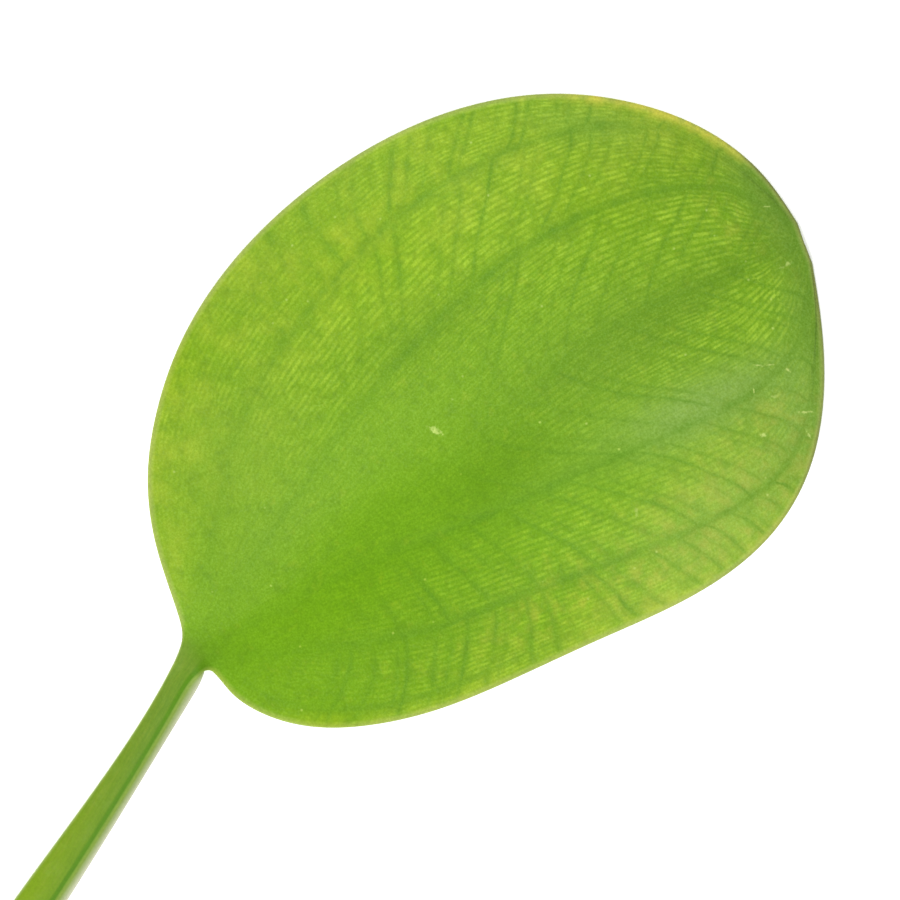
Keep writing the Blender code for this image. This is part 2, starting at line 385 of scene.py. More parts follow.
@dataclass
class Stalk:
    """Sizes of the keeled stalk in millimetres.

    Each station holds the middle x and y, half width, turn of the cross line from X in degrees, angle of the
    right ridge in degrees, half height, and how far the keel is lifted off the floor.
    """

    stations: tuple[tuple[float, ...], ...] = (
        (0.05, -0.22, 1.4, 2, 12, 0.95, 0.62),
        (0.46, -0.7, 1.2, 10, 40, 0.95, 0.45),
        (0.95, -1.49, 1.12, 23, 60, 0.93, 0.2),
        (1.62, -2.81, 1.09, 24, 64, 0.9, 0.05),
        (4.79, -9.87, 1.19, 23, 56, 1.0, 0),
        (8.09, -17.93, 1.5, 22.5, 54, 1.27, 0),
        (11.89, -27.33, 1.62, 22.5, 54, 1.36, 0),
    )
    left_ridge_deg: float = 168
    keel_flat: float = 0.93
    channel_depth: float = 0.13
    ridge_softness: float = 0.07
    head: float = 0.95
    rings: int = 84
    crowding: float = 1.7
    keel_points: int = 400
    top_points: int = 120
    ring_points: int = 1400
    softening_reach: float = 4

    def soften(self, corners: Array, length: Array) -> tuple[Array, Array]:
        """Walk round a closed ring in even steps and round off its ridges.

        Args:
            corners: points of the ring, the last one on the first.
            length: way round the ring to each of them.

        Returns:
            Points of the softened ring, the last one on the first, and the way round to each of them.
        """
        step = length[-1] / self.ring_points
        even = np.arange(self.ring_points) * step
        ring = np.stack([np.interp(even, length, corners[:, axis]) for axis in (0, 1)], axis=1)
        reach = int(math.ceil(self.softening_reach * self.ridge_softness / step))
        weights = bell(np.arange(-reach, reach + 1) * step, self.ridge_softness * math.sqrt(2))
        weights /= weights.sum()
        wrapped = np.concatenate([ring[-reach:], ring, ring[:reach]])
        soft = np.stack([np.convolve(wrapped[:, axis], weights, "valid") for axis in (0, 1)], axis=1)
        return np.concatenate([soft, soft[:1]]), np.r_[even, length[-1]]

    def section(self, station: Array, upper: Array, under: Array) -> tuple[Array, Array]:
        """One ring round the stalk: a channelled top between two soft ridges, over a round keel.

        Args:
            station: sizes at this place, as in the stations.
            upper: shares of the way over the top, from the left ridge to the right one.
            under: shares of the way round the keel, from the right ridge to the left one.

        Returns:
            Points of the ring, and how far each is round it from the right ridge, less than zero on the keel.
        """
        x, y, half_width, turn_deg, ridge_deg, half_height, lift = station
        angles = np.radians(np.linspace(ridge_deg, self.left_ridge_deg - 360, self.keel_points))
        up = np.maximum(np.sin(angles), -self.keel_flat) * half_height
        keel = np.stack([np.cos(angles) * half_width, up], axis=1)
        share = np.linspace(0, 1, self.top_points)[:, None]
        chord = keel[-1] + (keel[0] - keel[-1]) * share
        chord[:, 1:] -= self.channel_depth * 4 * share * (1 - share)
        corners = np.concatenate([chord, keel[1:]])
        length = np.r_[0, np.cumsum(np.linalg.norm(np.diff(corners, axis=0), axis=1))]
        ring, places = self.soften(corners, length)
        right_ridge = length[len(chord) - 1]
        wanted = np.r_[upper * right_ridge, right_ridge + under * (length[-1] - right_ridge)]
        across, up = (np.interp(wanted, places, ring[:, axis]) for axis in (0, 1))
        turn = math.radians(turn_deg)
        height = up + self.keel_flat * half_height + max(lift, 0)
        points = np.stack([x + across * math.cos(turn), y + across * math.sin(turn), height], axis=1)
        return points, right_ridge - wanted

    def run(self, upper: Array, under: Array) -> tuple[Array, Array]:
        """Rings from the cut end to the head of the stalk, closer together at the head.

        Args:
            upper: shares of the way over the top.
            under: shares of the way round the keel.

        Returns:
            Points of all rings, and how far round from the right ridge each is.
        """
        stations = np.array(self.stations)
        chord = np.r_[0, np.cumsum(np.linalg.norm(np.diff(stations[:, :2], axis=0), axis=1))]
        crowd = np.linspace(1, 0, self.rings) ** self.crowding
        places = self.head + crowd * (chord[-1] - self.head)
        made = [self.section(station, upper, under) for station in spline(chord, stations, places)]
        return np.stack([points for points, _ in made]), np.stack([round_by for _, round_by in made])


@dataclass(frozen=True)
class CrossVeins:
    """The slanting veins between the lengthwise ones, in millimetres, as both mesh and material read them.

    They are counted along each strip between two lengthwise veins. The strips are numbered outwards from
    the midrib, 0 to 2 on the right and 3 to 5 on the left. Slopes say how far a vein leans to the tip on its
    way out. Turns and spreads scatter the veins and their strength without any two alike in a row.
    """

    way_length: float = 56
    inner_spacing: float = 2.3
    outer_closer: float = 0.5
    early_slope: float = 0.4
    outer_straighter: float = 0.3
    late_slope: float = 0.9
    leans_from: float = 0.3
    leans_fully: float = 0.65
    outermost_strip: float = 2.0
    strips_a_side: float = 3.0
    strip_shift: float = 0.37
    place_turns: Pair = (2.4, 1.7)
    place_spread: float = 0.28
    strength_turns: Pair = (1.9, 2.9)
    strength_middle: float = 0.72
    strength_spread: float = 0.28
    groove_half_width: float = 0.25
    wander: Pair = (0.45, 0.1)
    wander_size: Pair = (4.5, 1.3)
    wander_seed: float = 3.1

    def way(self, fractions: Array, places: Array) -> Array:
        """Place along the blade that cross veins are counted by, which wanders so that none runs straight.

        Args:
            fractions: fraction of each place.
            places: points of the leaf.

        Returns:
            Millimetres from the foot.
        """
        sizes = zip(self.wander, self.wander_size)
        far, near = (by * lumps(places, size, self.wander_seed) for by, size in sizes)
        return self.way_length * fractions + far + near

    def grooves(self, way: Array, labels: Array, spread: Array) -> Array:
        """Strength of the cross veins at points of the mesh.

        Args:
            way: place along the blade.
            labels: label of each place.
            spread: millimetres to one label there.

        Returns:
            0 between the veins and up to 1 on them.
        """
        side = abs(labels)
        strip = np.minimum(np.floor(side), self.outermost_strip)
        lean = ramp(way / self.way_length, self.leans_from, self.leans_fully)
        early = self.early_slope - self.outer_straighter * strip
        slope = early + (self.late_slope - early) * lean
        spacing = self.inner_spacing - self.outer_closer * strip
        name = strip + np.where(labels < 0, self.strips_a_side, 0)
        count = (way - (side - strip) * spread * slope) / spacing + self.strip_shift * name
        number = np.floor(count)
        centre = 0.5 + self.place_spread * np.sin(self.place_turns[0] * number + self.place_turns[1] * name)
        turn = self.strength_turns[0] * number + self.strength_turns[1] * name
        strength = self.strength_middle + self.strength_spread * np.sin(turn)
        return strength * bell((count - number - centre) * spacing, self.groove_half_width)

    def nodes(self, sheet: "Sheet") -> tuple[Value, Value]:
        """The same pattern for a material.

        Args:
            sheet: the node sheet.

        Returns:
            Millimetres to the nearest cross vein, and its strength.
        """
        add, read = sheet.add, sheet.read
        side = add("Math", read["label"], operation="ABSOLUTE")
        whole = add("Math", side, operation="FLOOR")
        strip = add("Math", whole, self.outermost_strip, operation="MINIMUM")
        early = add("Math", strip, -self.outer_straighter, self.early_slope, operation="MULTIPLY_ADD")
        leaning = (self.way_length * self.leans_from, self.way_length * self.leans_fully)
        slope = add("MapRange", read["way"], *leaning, early, self.late_slope, **SMOOTH)
        past = add("Math", side, strip, operation="SUBTRACT")
        past = add("Math", past, read["spread"], operation="MULTIPLY")
        forward = add("Math", past, slope, operation="MULTIPLY")
        spacing = add("Math", strip, -self.outer_closer, self.inner_spacing, operation="MULTIPLY_ADD")
        left = add("Math", read["label"], 0.0, operation="LESS_THAN")
        name = add("Math", left, self.strips_a_side, strip, operation="MULTIPLY_ADD")
        level = add("Math", read["way"], forward, operation="SUBTRACT")
        share = add("Math", level, spacing, operation="DIVIDE")
        count = add("Math", name, self.strip_shift, share, operation="MULTIPLY_ADD")
        number = add("Math", count, operation="FLOOR")
        turned = []
        for by_number, by_name in (self.place_turns, self.strength_turns):
            turn = add("Math", name, by_name, operation="MULTIPLY")
            turn = add("Math", number, by_number, turn, operation="MULTIPLY_ADD")
            turned.append(add("Math", turn, operation="SINE"))
        centre = add("Math", turned[0], self.place_spread, 0.5, operation="MULTIPLY_ADD")
        past_number = add("Math", count, number, operation="SUBTRACT")
        off = add("Math", past_number, centre, operation="SUBTRACT")
        off = add("Math", off, operation="ABSOLUTE")
        gap = add("Math", off, spacing, operation="MULTIPLY")
        spread, middle = self.strength_spread, self.strength_middle
        return gap, add("Math", turned[1], spread, middle, operation="MULTIPLY_ADD")


@dataclass
class Relief:
    """Sizes in millimetres of what stands in or out of the blade's faces, and how strong each vein is.

    Lines of strengths go by fraction, one for each vein from label -2 to 2; those of the cross veins go by
    label. Pairs say where something is 0 and where it is full.
    """

    cross_veins: CrossVeins
    vein_half_width: float = 0.45
    vein_groove: float = 0.04
    vein_rib: float = 0.13
    vein_strengths: tuple[Line, ...] = (
        ((0, 0.1), (0.08, 0.4), (0.3, 0.46), (0.45, 0.72), (0.75, 0.7), (0.9, 0.4), (0.97, 0.1)),
        ((0, 0.1), (0.15, 0.4), (0.3, 0.45), (0.45, 0.72), (0.7, 0.95), (0.85, 0.9), (0.97, 0.3)),
        ((0, 0), (0.15, 0.15), (0.3, 0.2), (0.5, 0.32), (0.7, 0.5), (0.85, 0.55), (0.97, 0.45)),
        ((0, 0), (0.08, 0.25), (0.25, 0.4), (0.4, 0.8), (0.6, 0.8), (0.8, 0.8), (0.9, 0.6), (0.96, 0.1)),
        ((0, 0), (0.05, 0.25), (0.15, 0.5), (0.25, 0.85), (0.75, 0.9), (0.88, 0.45), (0.95, 0.05)),
    )
    margin_vein_inset: float = 1.2
    margin_vein_half_width: float = 0.25
    margin_vein_strength: Line = ((0, 0), (0.08, 0.6), (0.3, 0.7), (0.45, 0.2), (0.7, 0))
    cross_shares: Line = ((0, 0.6), (1, 0.78), (2, 0.92), (3, 0.95))
    cross_starts: Line = (
        (-3, 0), (-2.1, 0.02), (-1.9, 0.28), (-1, 0.36), (0, 0.35), (1.5, 0.12), (2.5, 0.02),
    )
    cross_start_lengths: Line = ((-3, 0.68), (-2.1, 0.6), (-1.9, 0.2), (3, 0.2))
    cross_ends: Pair = (1, 0.93)
    cross_clear_of_rim: Pair = (0.05, 0.6)
    cross_left: float = 0.88
    cross_groove: float = 0.02
    cross_rib: float = 0.05
    ribs_clear_of_rim: Pair = (0.2, 1.5)
    swell: float = 0.13
    swell_size: float = 8.5
    swell_seed: float = 1.7
    swell_stretch: tuple[float, float, float] = (1, 0.6, 1)
    swell_clear_of_rim: Pair = (0.3, 3.5)
    dimple: float = 0.022
    dimple_size: float = 1.6
    dimple_seed: float = 12.4
    dimple_clear_of_rim: Pair = (0.1, 1)

    def veins(self, labels: Array, fractions: Array) -> Array:
        """How strong the nearest lengthwise vein is; the margins are none.

        Args:
            labels: label of each place.
            fractions: fraction of each place.

        Returns:
            Strength from 0 to 1.
        """
        nearest = np.rint(labels)
        strengths = np.zeros(np.broadcast(labels, fractions).shape)
        for label, pairs in zip(range(-2, 3), self.vein_strengths):
            strengths = np.where(nearest == label, np.interp(fractions, *zip(*pairs)), strengths)
        return strengths

    def margin_vein(self, labels: Array, fractions: Array, rim: Array) -> Array:
        """Strength of the vein that runs just inside the right margin of the lower blade."""
        strength = np.interp(fractions, *zip(*self.margin_vein_strength)) * (labels > 0)
        return strength * bell(rim - self.margin_vein_inset, self.margin_vein_half_width)

    def joined(self, labels: Array, fractions: Array, rim: Array) -> Array:
        """How strong the cross veins are: most in the outer strips, and none on the margin.

        Args:
            labels: label of each place.
            fractions: fraction of each place.
            rim: distance from the margin.

        Returns:
            Strength from 0 to 1.
        """
        side = abs(labels)
        share = np.interp(side, *zip(*self.cross_shares)) * np.where(labels < 0, self.cross_left, 1)
        start = np.interp(labels, *zip(*self.cross_starts))
        length = np.interp(labels, *zip(*self.cross_start_lengths))
        grown = ramp(fractions, start, start + length) * ramp(fractions, *self.cross_ends)
        return share * grown * ramp(rim, *self.cross_clear_of_rim)

    def swelling(self, places: Array, rim: Array) -> Array:
        """Soft swell of the whole blade, which leaves a strip along the margin flat."""
        swell = self.swell * lumps(places * self.swell_stretch, self.swell_size, self.swell_seed)
        return swell * ramp(rim, *self.swell_clear_of_rim)

    def upper(self, places: Array, veins: Array, crossing: Array, rim: Array) -> Array:
        """How far the upper face stands out: pressed in along the veins, softly swollen between them.

        Args:
            places: points of the leaf.
            veins: strength of the long veins there.
            crossing: strength of the cross veins there.
            rim: distance from the margin.

        Returns:
            Millimetres outwards.
        """
        dimple = self.dimple * lumps(places, self.dimple_size, self.dimple_seed)
        swell = self.swelling(places, rim) + dimple * ramp(rim, *self.dimple_clear_of_rim)
        return swell - self.vein_groove * veins - self.cross_groove * crossing

    def under(self, places: Array, veins: Array, crossing: Array, rim: Array) -> Array:
        """How far the under face stands out: in step with the upper one, with the veins raised."""
        ribs = self.vein_rib * veins + self.cross_rib * crossing
        return ribs * ramp(rim, *self.ribs_clear_of_rim) - self.swelling(places, rim)


@dataclass(frozen=True)
class Patch:
    """A soft oval of another tone on the blade: its middle, half length and half width in millimetres."""

    x: float
    y: float
    length: float
    width: float
    turn_deg: float
    strength: float

    def cover(self, places: Array) -> Array:
        """Strength of the patch, which fades away from its middle.

        Args:
            places: points of the leaf.

        Returns:
            Strength at each of them.
        """
        turn = math.radians(self.turn_deg)
        dx, dy = places[..., 0] - self.x, places[..., 1] - self.y
        along = dx * math.cos(turn) + dy * math.sin(turn)
        across = dy * math.cos(turn) - dx * math.sin(turn)
        return self.strength * np.exp(-((along / self.length) ** 2) - (across / self.width) ** 2)


@dataclass
class Tones:
    """Where the leaf is deeper, riper or more withered than its plain green, with painted shade and sheen.

    Besides the patches there are two strips along the margin: a ripe one round the lower blade, and a
    shaded one at the tip. Pairs say where they are 0 and where they are full, by label or in millimetres.
    """

    # Painted shade on the right half of the fold at the foot of the blade.
    fold_shade_right: tuple[Patch, ...] = (
        Patch(2, 11, 10, 3, 91, 1), Patch(1.4, 3, 3.5, 2, 80, 0.5), Patch(1.2, 21.5, 6, 2.6, 88, 0.85),
    )
    # Deeper green, partly real tone and partly painted shade.
    deep: tuple[Patch, ...] = (
        Patch(0.2, 0.6, 2.4, 1.7, 60, 0.42), Patch(6, 13, 9, 5, 68, 0.48), Patch(4.8, 21, 6, 2.6, 78, 0.45),
        Patch(-0.8, 15.5, 8, 2, 90, 0.75), Patch(5, 30, 4, 2.4, 80, 0.48), Patch(9, 4.8, 3, 2, 45, 0.65),
        Patch(-9.5, 39, 2.6, 1.6, 45, 0.3), Patch(-15.5, 25, 5, 3, 88, 0.4), Patch(-17, 9.7, 3, 2, 95, 0.5),
        Patch(11.3, 22.6, 3, 1.6, 80, 0.3),
    )
    shade: tuple[Patch, ...] = (
        Patch(-1.5, 48.4, 4, 1.8, 8, 0.28), Patch(-1.4, 41.5, 8, 1.6, 91, 0.3),
        Patch(-7.5, 46.5, 5, 2, 28, 0.08), Patch(1.2, 24, 4, 2, 88, 0.3), Patch(6, 16, 8, 5, 68, 0.12),
        Patch(1.2, 15, 8, 3, 88, 0.1), Patch(0.2, -0.2, 2.6, 1.8, 60, 0.54),
        Patch(-9.5, 25, 8, 2.4, 86, 0.28), Patch(-1.5, 33, 9, 4, 93, 0.25),
    )
    ripe: tuple[Patch, ...] = (
        Patch(-17.5, 25, 17, 6, 88, 0.65), Patch(-13, 6.5, 7, 2.4, 139, 0.6),
        Patch(-6.5, 2.4, 4.5, 1.4, 155, 0.4), Patch(-13, 40, 6, 4, 60, 0.35),
        Patch(13.8, 33, 8, 2.8, 95, 0.4), Patch(12.8, 23, 7, 2, 80, 0.35), Patch(9.5, 36, 6, 2.4, 95, 0.4),
        Patch(-12.3, 46, 5.5, 1.4, 44, 0.75), Patch(-9.5, 9.5, 6.5, 4, 112, 0.3),
        Patch(-10, 47.3, 3.5, 1.2, 34, 0.6), Patch(12.8, 38.6, 4, 2.6, 105, 0.45),
    )
    rosy: tuple[Patch, ...] = (
        Patch(12.5, 33, 8, 3.5, 95, 0.9), Patch(11, 22, 7, 2, 80, 0.6), Patch(9, 41, 4, 3, 60, 0.6),
        Patch(-4, 47, 5, 2, 15, 0.4), Patch(13.2, 40, 4, 1.8, 115, 0.7), Patch(11.3, 43, 3, 1.5, 140, 0.7),
        Patch(12.8, 38, 4, 3, 100, 0.8), Patch(14.2, 37.8, 2.6, 1.6, 110, 1),
    )
    # Painted sheen: a pale grey-green haze laid on as colour.
    bloom: tuple[Patch, ...] = (
        Patch(-5, 18, 11, 3.4, 95, 0.12), Patch(5.2, 37.5, 8, 2, 82, 1), Patch(9.5, 43, 4, 2.2, -42, 0.6),
        Patch(-3.5, 49.2, 6, 1.4, 0, 0.5), Patch(12, 36, 8, 4, 100, 0.52), Patch(-1, 34, 9, 5, 92, 0.15),
        Patch(3.4, 47.4, 2.5, 1.8, -20, 0.4), Patch(-3, 8, 5, 2.4, 104, 0.12),
        Patch(-14.8, 42.3, 4.5, 1.4, 50, 0.3), Patch(-9.5, 10, 6, 4, 112, 0.16),
    )
    bare: tuple[Patch, ...] = (
        Patch(-3.5, 20, 13, 6, 88, 1), Patch(3, 24, 9, 4, 80, 0.7), Patch(-19, 20, 13, 4.5, 95, 0.7),
        Patch(-9, 8, 8, 4, 130, 0.8), Patch(6, 6, 9, 5, 45, 0.6), Patch(11, 30, 12, 4, 85, 0.35),
    )
    pitted: tuple[Patch, ...] = (
        Patch(-2, 46, 9, 5, 0, 0.8), Patch(-12, 44, 6, 4, 40, 0.6), Patch(8, 41, 5, 4, 60, 0.8),
        Patch(-18, 26, 14, 4, 88, 0.25), Patch(12, 32, 8, 3, 95, 0.4), Patch(5.3, 42.7, 1.3, 0.6, 56, 1),
    )
    withered: tuple[Patch, ...] = (
        Patch(-16, 43.4, 1.9, 2, 50, 0.8), Patch(-13.6, 45.9, 2.3, 2, 38, 1),
        Patch(-10.6, 47.9, 2.5, 2.2, 32, 0.95), Patch(-18.5, 39.5, 2.4, 2, 60, 0.2),
        Patch(-8.2, 48.9, 1.6, 2, 22, 0.5), Patch(14.6, 38, 3, 1.6, -70, 0.2),
    )
    browned: tuple[Patch, ...] = (
        Patch(12, 42.5, 5, 3, -50, 0.65), Patch(3, 49, 6, 3, -20, 0.75), Patch(-6, 49.8, 5, 2, 8, 0.8),
        Patch(15, 34, 6, 2, 95, 0.45),
    )
    right_of_midrib: Pair = (-0.3, 0.4)
    margin_ripe: float = 0.75
    margin_ripe_width: float = 0.9
    left_margin_ripe: float = 0.2
    margin_from_label: Pair = (1.5, 2.3)
    margin_above_foot: Pair = (1, 5)
    margin_below_tip: Pair = (42, 36)
    tip_margin_shade: float = 0.5
    tip_margin_width: float = 1.7
    tip_above: Pair = (43.5, 47)
    tip_right_of: Pair = (-10, -4)
    tip_left_of: Pair = (9, 5)
    withered_depth: float = 0.55

    @staticmethod
    def together(patches: tuple[Patch, ...], places: Array) -> Array:
        """Cover of several patches.

        Args:
            patches: the patches.
            places: points of the leaf.

        Returns:
            Strength at each of them, from 0 to 1.
        """
        bare = np.ones(places.shape[:-1])
        for patch in patches:
            bare = bare * (1 - patch.cover(places))
        return 1 - bare

    def read(self, places: Array, labels: Array, rim: Array) -> dict[str, Array]:
        """Strength of each tone.

        Args:
            places: points on the leaf.
            labels: label of each place.
            rim: distance from the margin.

        Returns:
            Values from 0 to 1 by the tone's name.
        """
        right, up = places[..., 0], places[..., 1]
        # Painted shade on the right half of the fold, beside the midrib.
        fold_shade = self.together(self.fold_shade_right, places) * ramp(labels, *self.right_of_midrib)
        strip = bell(rim, self.margin_ripe_width) * ramp(abs(labels), *self.margin_from_label)
        strip = strip * ramp(up, *self.margin_above_foot) * ramp(up, *self.margin_below_tip)
        strip = strip * np.where(labels < 0, self.left_margin_ripe, self.margin_ripe)
        tip_strip = self.tip_margin_shade * bell(rim, self.tip_margin_width) * ramp(up, *self.tip_above)
        tip_strip = tip_strip * ramp(right, *self.tip_right_of) * ramp(right, *self.tip_left_of)
        read = {name: self.together(getattr(self, name), places) for name in TONES}
        read["deep"] = 1 - (1 - read["deep"]) * (1 - fold_shade)
        read["ripe"] = 1 - (1 - read["ripe"]) * (1 - strip)
        read["shade"] = 1 - (1 - read["shade"]) * (1 - tip_strip)
        read["withered"] = read["withered"] * bell(rim, self.withered_depth)
        return read


class FaceKind(IntEnum):
    """What a face of a piece belongs to."""

    SKIN = 0
    PARTING = 1
    CUT = 2


@dataclass
class Surface:
    """Points of the whole leaf, their smooth normals, and what the materials read at each of them."""

    points: Array
    normals: Array
    readings: dict[str, Array]


@dataclass
class Leaf:
    """The whole leaf as rings of points, and the two meshes that it is parted into.

    Each ring runs over the upper face from the left margin to the right one, and back over the under face.
    Columns are the points of a ring on its upper face. The two pieces are parted on one ring of the bridge
    between stalk and blade, where the run is 0. Pairs say where something is 0 and where it is full: by run
    for the relief and the looks of the stalk, and in spacings and millimetres for the channels and the rind.
    """

    blade: Blade
    stalk: Stalk
    relief: Relief
    tones: Tones
    bridge_rings: int = 26
    bridge_pull: float = 1.25
    part_at: float = 0.45
    least_label_change: float = 1e-4
    spread_limits: Pair = (0.02, 12)
    relief_from_parting: Pair = (0.4, 3)
    stalk_looks_to: Pair = (1.3, -0.9)
    cut_rings: int = 26
    channel_spacing: float = 0.42
    channel_depth: float = 0.22
    channel_sides: Pair = (0.42, 0.22)
    rind: Pair = (0.176, 0.308)
    columns: int = field(init=False)
    parting: int = field(init=False)
    rings: Array = field(init=False)
    known: dict[str, Array] = field(init=False)

    def lay_out(self) -> None:
        """Lay out the rings of the whole leaf, and what is known of each point."""
        labels = self.blade.labels()
        fractions = self.blade.fractions()
        upper, under, rim = self.blade.faces(fractions, labels)
        back = slice(-2, 0, -1)
        self.columns = len(labels)
        blade_rings = np.concatenate([upper, under[:, back]], axis=1)
        shares = (labels - labels[0]) / (labels[-1] - labels[0])
        stalk_rings, stalk_round = self.stalk.run(shares, shares[1:-1])
        bridge = self.bridge(stalk_rings, blade_rings)
        self.rings = np.concatenate([stalk_rings, bridge, blade_rings])
        self.parting = len(stalk_rings) + int(len(bridge) * self.part_at)

        rows, count = self.rings.shape[:2]
        below_blade, past_stalk = rows - len(fractions), rows - len(stalk_rings)
        rim = np.concatenate([rim, rim[:, back]], axis=1)
        steps = np.linalg.norm(np.diff(self.rings, axis=0), axis=2)
        run = np.concatenate([np.zeros((1, count)), np.cumsum(steps, axis=0)])
        all_labels = np.r_[labels, labels[back]]
        is_upper = np.r_[np.ones(self.columns), np.zeros(count - self.columns)]
        is_upper[[0, self.columns - 1]] = 0.5
        self.known = {
            "label": np.broadcast_to(all_labels, (rows, count)),
            "run": run - run[self.parting],
            "spread": self.spread(all_labels),
            "rim": np.concatenate([np.repeat(rim[:1], below_blade, axis=0), rim]),
            "upper": np.broadcast_to(is_upper, (rows, count)),
            "round": np.concatenate([stalk_round, np.repeat(stalk_round[-1:], past_stalk, axis=0)]),
        }
        self.carve(np.r_[np.zeros(below_blade), fractions])
        self.known["stalk"] = ramp(self.known["run"], *self.stalk_looks_to)
        self.known.update(self.tones.read(self.rings, self.known["label"], self.known["rim"]))

    def spread(self, labels: Array) -> Array:
        """How wide the strips between the veins are at each point.

        Args:
            labels: label of each place round a ring.

        Returns:
            Millimetres to one label.
        """
        change = np.roll(self.rings, -1, axis=1) - np.roll(self.rings, 1, axis=1)
        label_change = abs(np.roll(labels, -1) - np.roll(labels, 1))
        spread = np.linalg.norm(change, axis=2) / np.maximum(label_change, self.least_label_change)
        spread[:, [0, self.columns - 1]] = spread[:, [1, self.columns - 2]]
        return np.clip(spread, *self.spread_limits)

    def bridge(self, below: Array, above: Array) -> Array:
        """Rings that carry the ridges of the stalk over into the margins of the blade.

        Args:
            below: rings of the stalk.
            above: rings of the blade.

        Returns:
            The rings between the last one below and the first one above.
        """
        start, end = below[-1], above[0]
        way = np.linalg.norm(end - start, axis=1, keepdims=True) * self.bridge_pull
        leave = start - below[-2]
        arrive = above[1] - end
        leave = way * leave / np.linalg.norm(leave, axis=1, keepdims=True)
        arrive = way * arrive / np.linalg.norm(arrive, axis=1, keepdims=True)
        rings = []
        # Each point goes from ring to ring by a cubic curve that leaves and arrives along the leaf.
        for s in np.linspace(0, 1, self.bridge_rings + 2)[1:-1]:
            ring = (2 * s**3 - 3 * s**2 + 1) * start + (s**3 - 2 * s**2 + s) * leave
            rings.append(ring + (3 * s**2 - 2 * s**3) * end + (s**3 - s**2) * arrive)
        return np.stack(rings)

    def normals(self) -> Array:
        """Outward direction at each point of the rings.

        Returns:
            One direction of length 1 for each point.
        """
        along = np.gradient(self.rings, axis=0)
        across = np.roll(self.rings, -1, axis=1) - np.roll(self.rings, 1, axis=1)
        out = np.cross(across, along)
        return out / np.maximum(np.linalg.norm(out, axis=2, keepdims=True), TINY)

    def carve(self, fractions: Array) -> None:
        """Work the veins and the soft swellings into both faces of the blade.

        Args:
            fractions: fraction of each ring, 0 below the blade.
        """
        known, relief = self.known, self.relief
        labels, rim = known["label"], known["rim"]
        fractions = np.broadcast_to(fractions[:, None], labels.shape)
        known["band"] = relief.veins(labels, fractions)
        known["margin_vein"] = relief.margin_vein(labels, fractions, rim)
        known["joined"] = relief.joined(labels, fractions, rim)
        known["way"] = relief.cross_veins.way(fractions, self.rings)
        off_vein = abs(labels - np.rint(labels)) * known["spread"]
        veins = np.maximum(known["band"] * bell(off_vein, relief.vein_half_width), known["margin_vein"])
        crossing = known["joined"] * relief.cross_veins.grooves(known["way"], labels, known["spread"])
        upper = relief.upper(self.rings, veins, crossing, rim)
        under = relief.under(self.rings, veins, crossing, rim)
        out = np.where(known["upper"] == 1, upper, np.where(known["upper"] == 0, under, 0))
        out = out * ramp(known["run"], *self.relief_from_parting)
        self.rings = self.rings + self.normals() * out[..., None]
        self.rings[..., 2] = np.maximum(self.rings[..., 2], 0)

    def point_numbers(self) -> Array:
        """Number the points of the rings; both faces share the points of the last ring.

        Returns:
            The number at each place of each ring.
        """
        rows, count = self.rings.shape[:2]
        numbers = np.arange(rows * count).reshape(rows, count)
        under = np.arange(self.columns, count)
        numbers[-1, under] = numbers[-1, 2 * self.columns - 2 - under]
        return numbers

    def build(self, materials: dict[str, bpy.types.Material], shift: Vector) -> dict[Piece, bpy.types.Object]:
        """Part the rings into the blade and the stalk and make their meshes.

        Args:
            materials: the finished materials by name.
            shift: move in metres from the leaf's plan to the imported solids.

        Returns:
            The object of each piece.
        """
        self.lay_out()
        numbers = self.point_numbers()
        near, far = numbers[:-1], numbers[1:]
        quads = np.stack([near, np.roll(near, -1, 1), np.roll(far, -1, 1), far], axis=-1)
        points = self.rings.reshape(-1, 3)
        readings = {name: np.ascontiguousarray(self.known[name]).reshape(-1) for name in READINGS}
        surface = Surface(points, self.point_normals(points, quads.reshape(-1, 4)), readings)
        cap = self.ladder(numbers[self.parting])
        shares = {
            Piece.BLADE: (quads[self.parting :], cap[:, ::-1]),
            Piece.STALK: (quads[: self.parting], cap),
        }
        return {
            piece: self.mesh(piece, skin, end, surface, materials, shift)
            for piece, (skin, end) in shares.items()
        }

    def ladder(self, ring: Array) -> Array:
        """Faces that close a parted ring, from the upper point of each column to the under one.

        Args:
            ring: numbers of the ring's points.

        Returns:
            Numbers of the four points of each face.
        """
        upper = ring[: self.columns]
        under = np.r_[ring[0], ring[self.columns :][::-1], ring[self.columns - 1]]
        return np.stack([upper[:-1], upper[1:], under[1:], under[:-1]], axis=1)

    @staticmethod
    def point_normals(points: Array, quads: Array) -> Array:
        """Smooth normals of points.

        Args:
            points: the points of the whole leaf.
            quads: numbers of the four points of each of its faces.

        Returns:
            One direction for each point, from all the faces that it is in.
        """
        first, second = (points[quads[:, i + 2]] - points[quads[:, i]] for i in (0, 1))
        out = np.cross(first, second)
        total = np.zeros_like(points)
        for corner in range(4):
            np.add.at(total, quads[:, corner], out)
        return total / np.maximum(np.linalg.norm(total, axis=1, keepdims=True), TINY)

    @staticmethod
    def without_repeats(quads: Array) -> list[list[int]]:
        """Faces in which no point comes twice; those left with fewer than three points are dropped."""
        faces = [list(dict.fromkeys(face)) for face in quads.reshape(-1, 4).tolist()]
        return [face for face in faces if len(face) > 2]

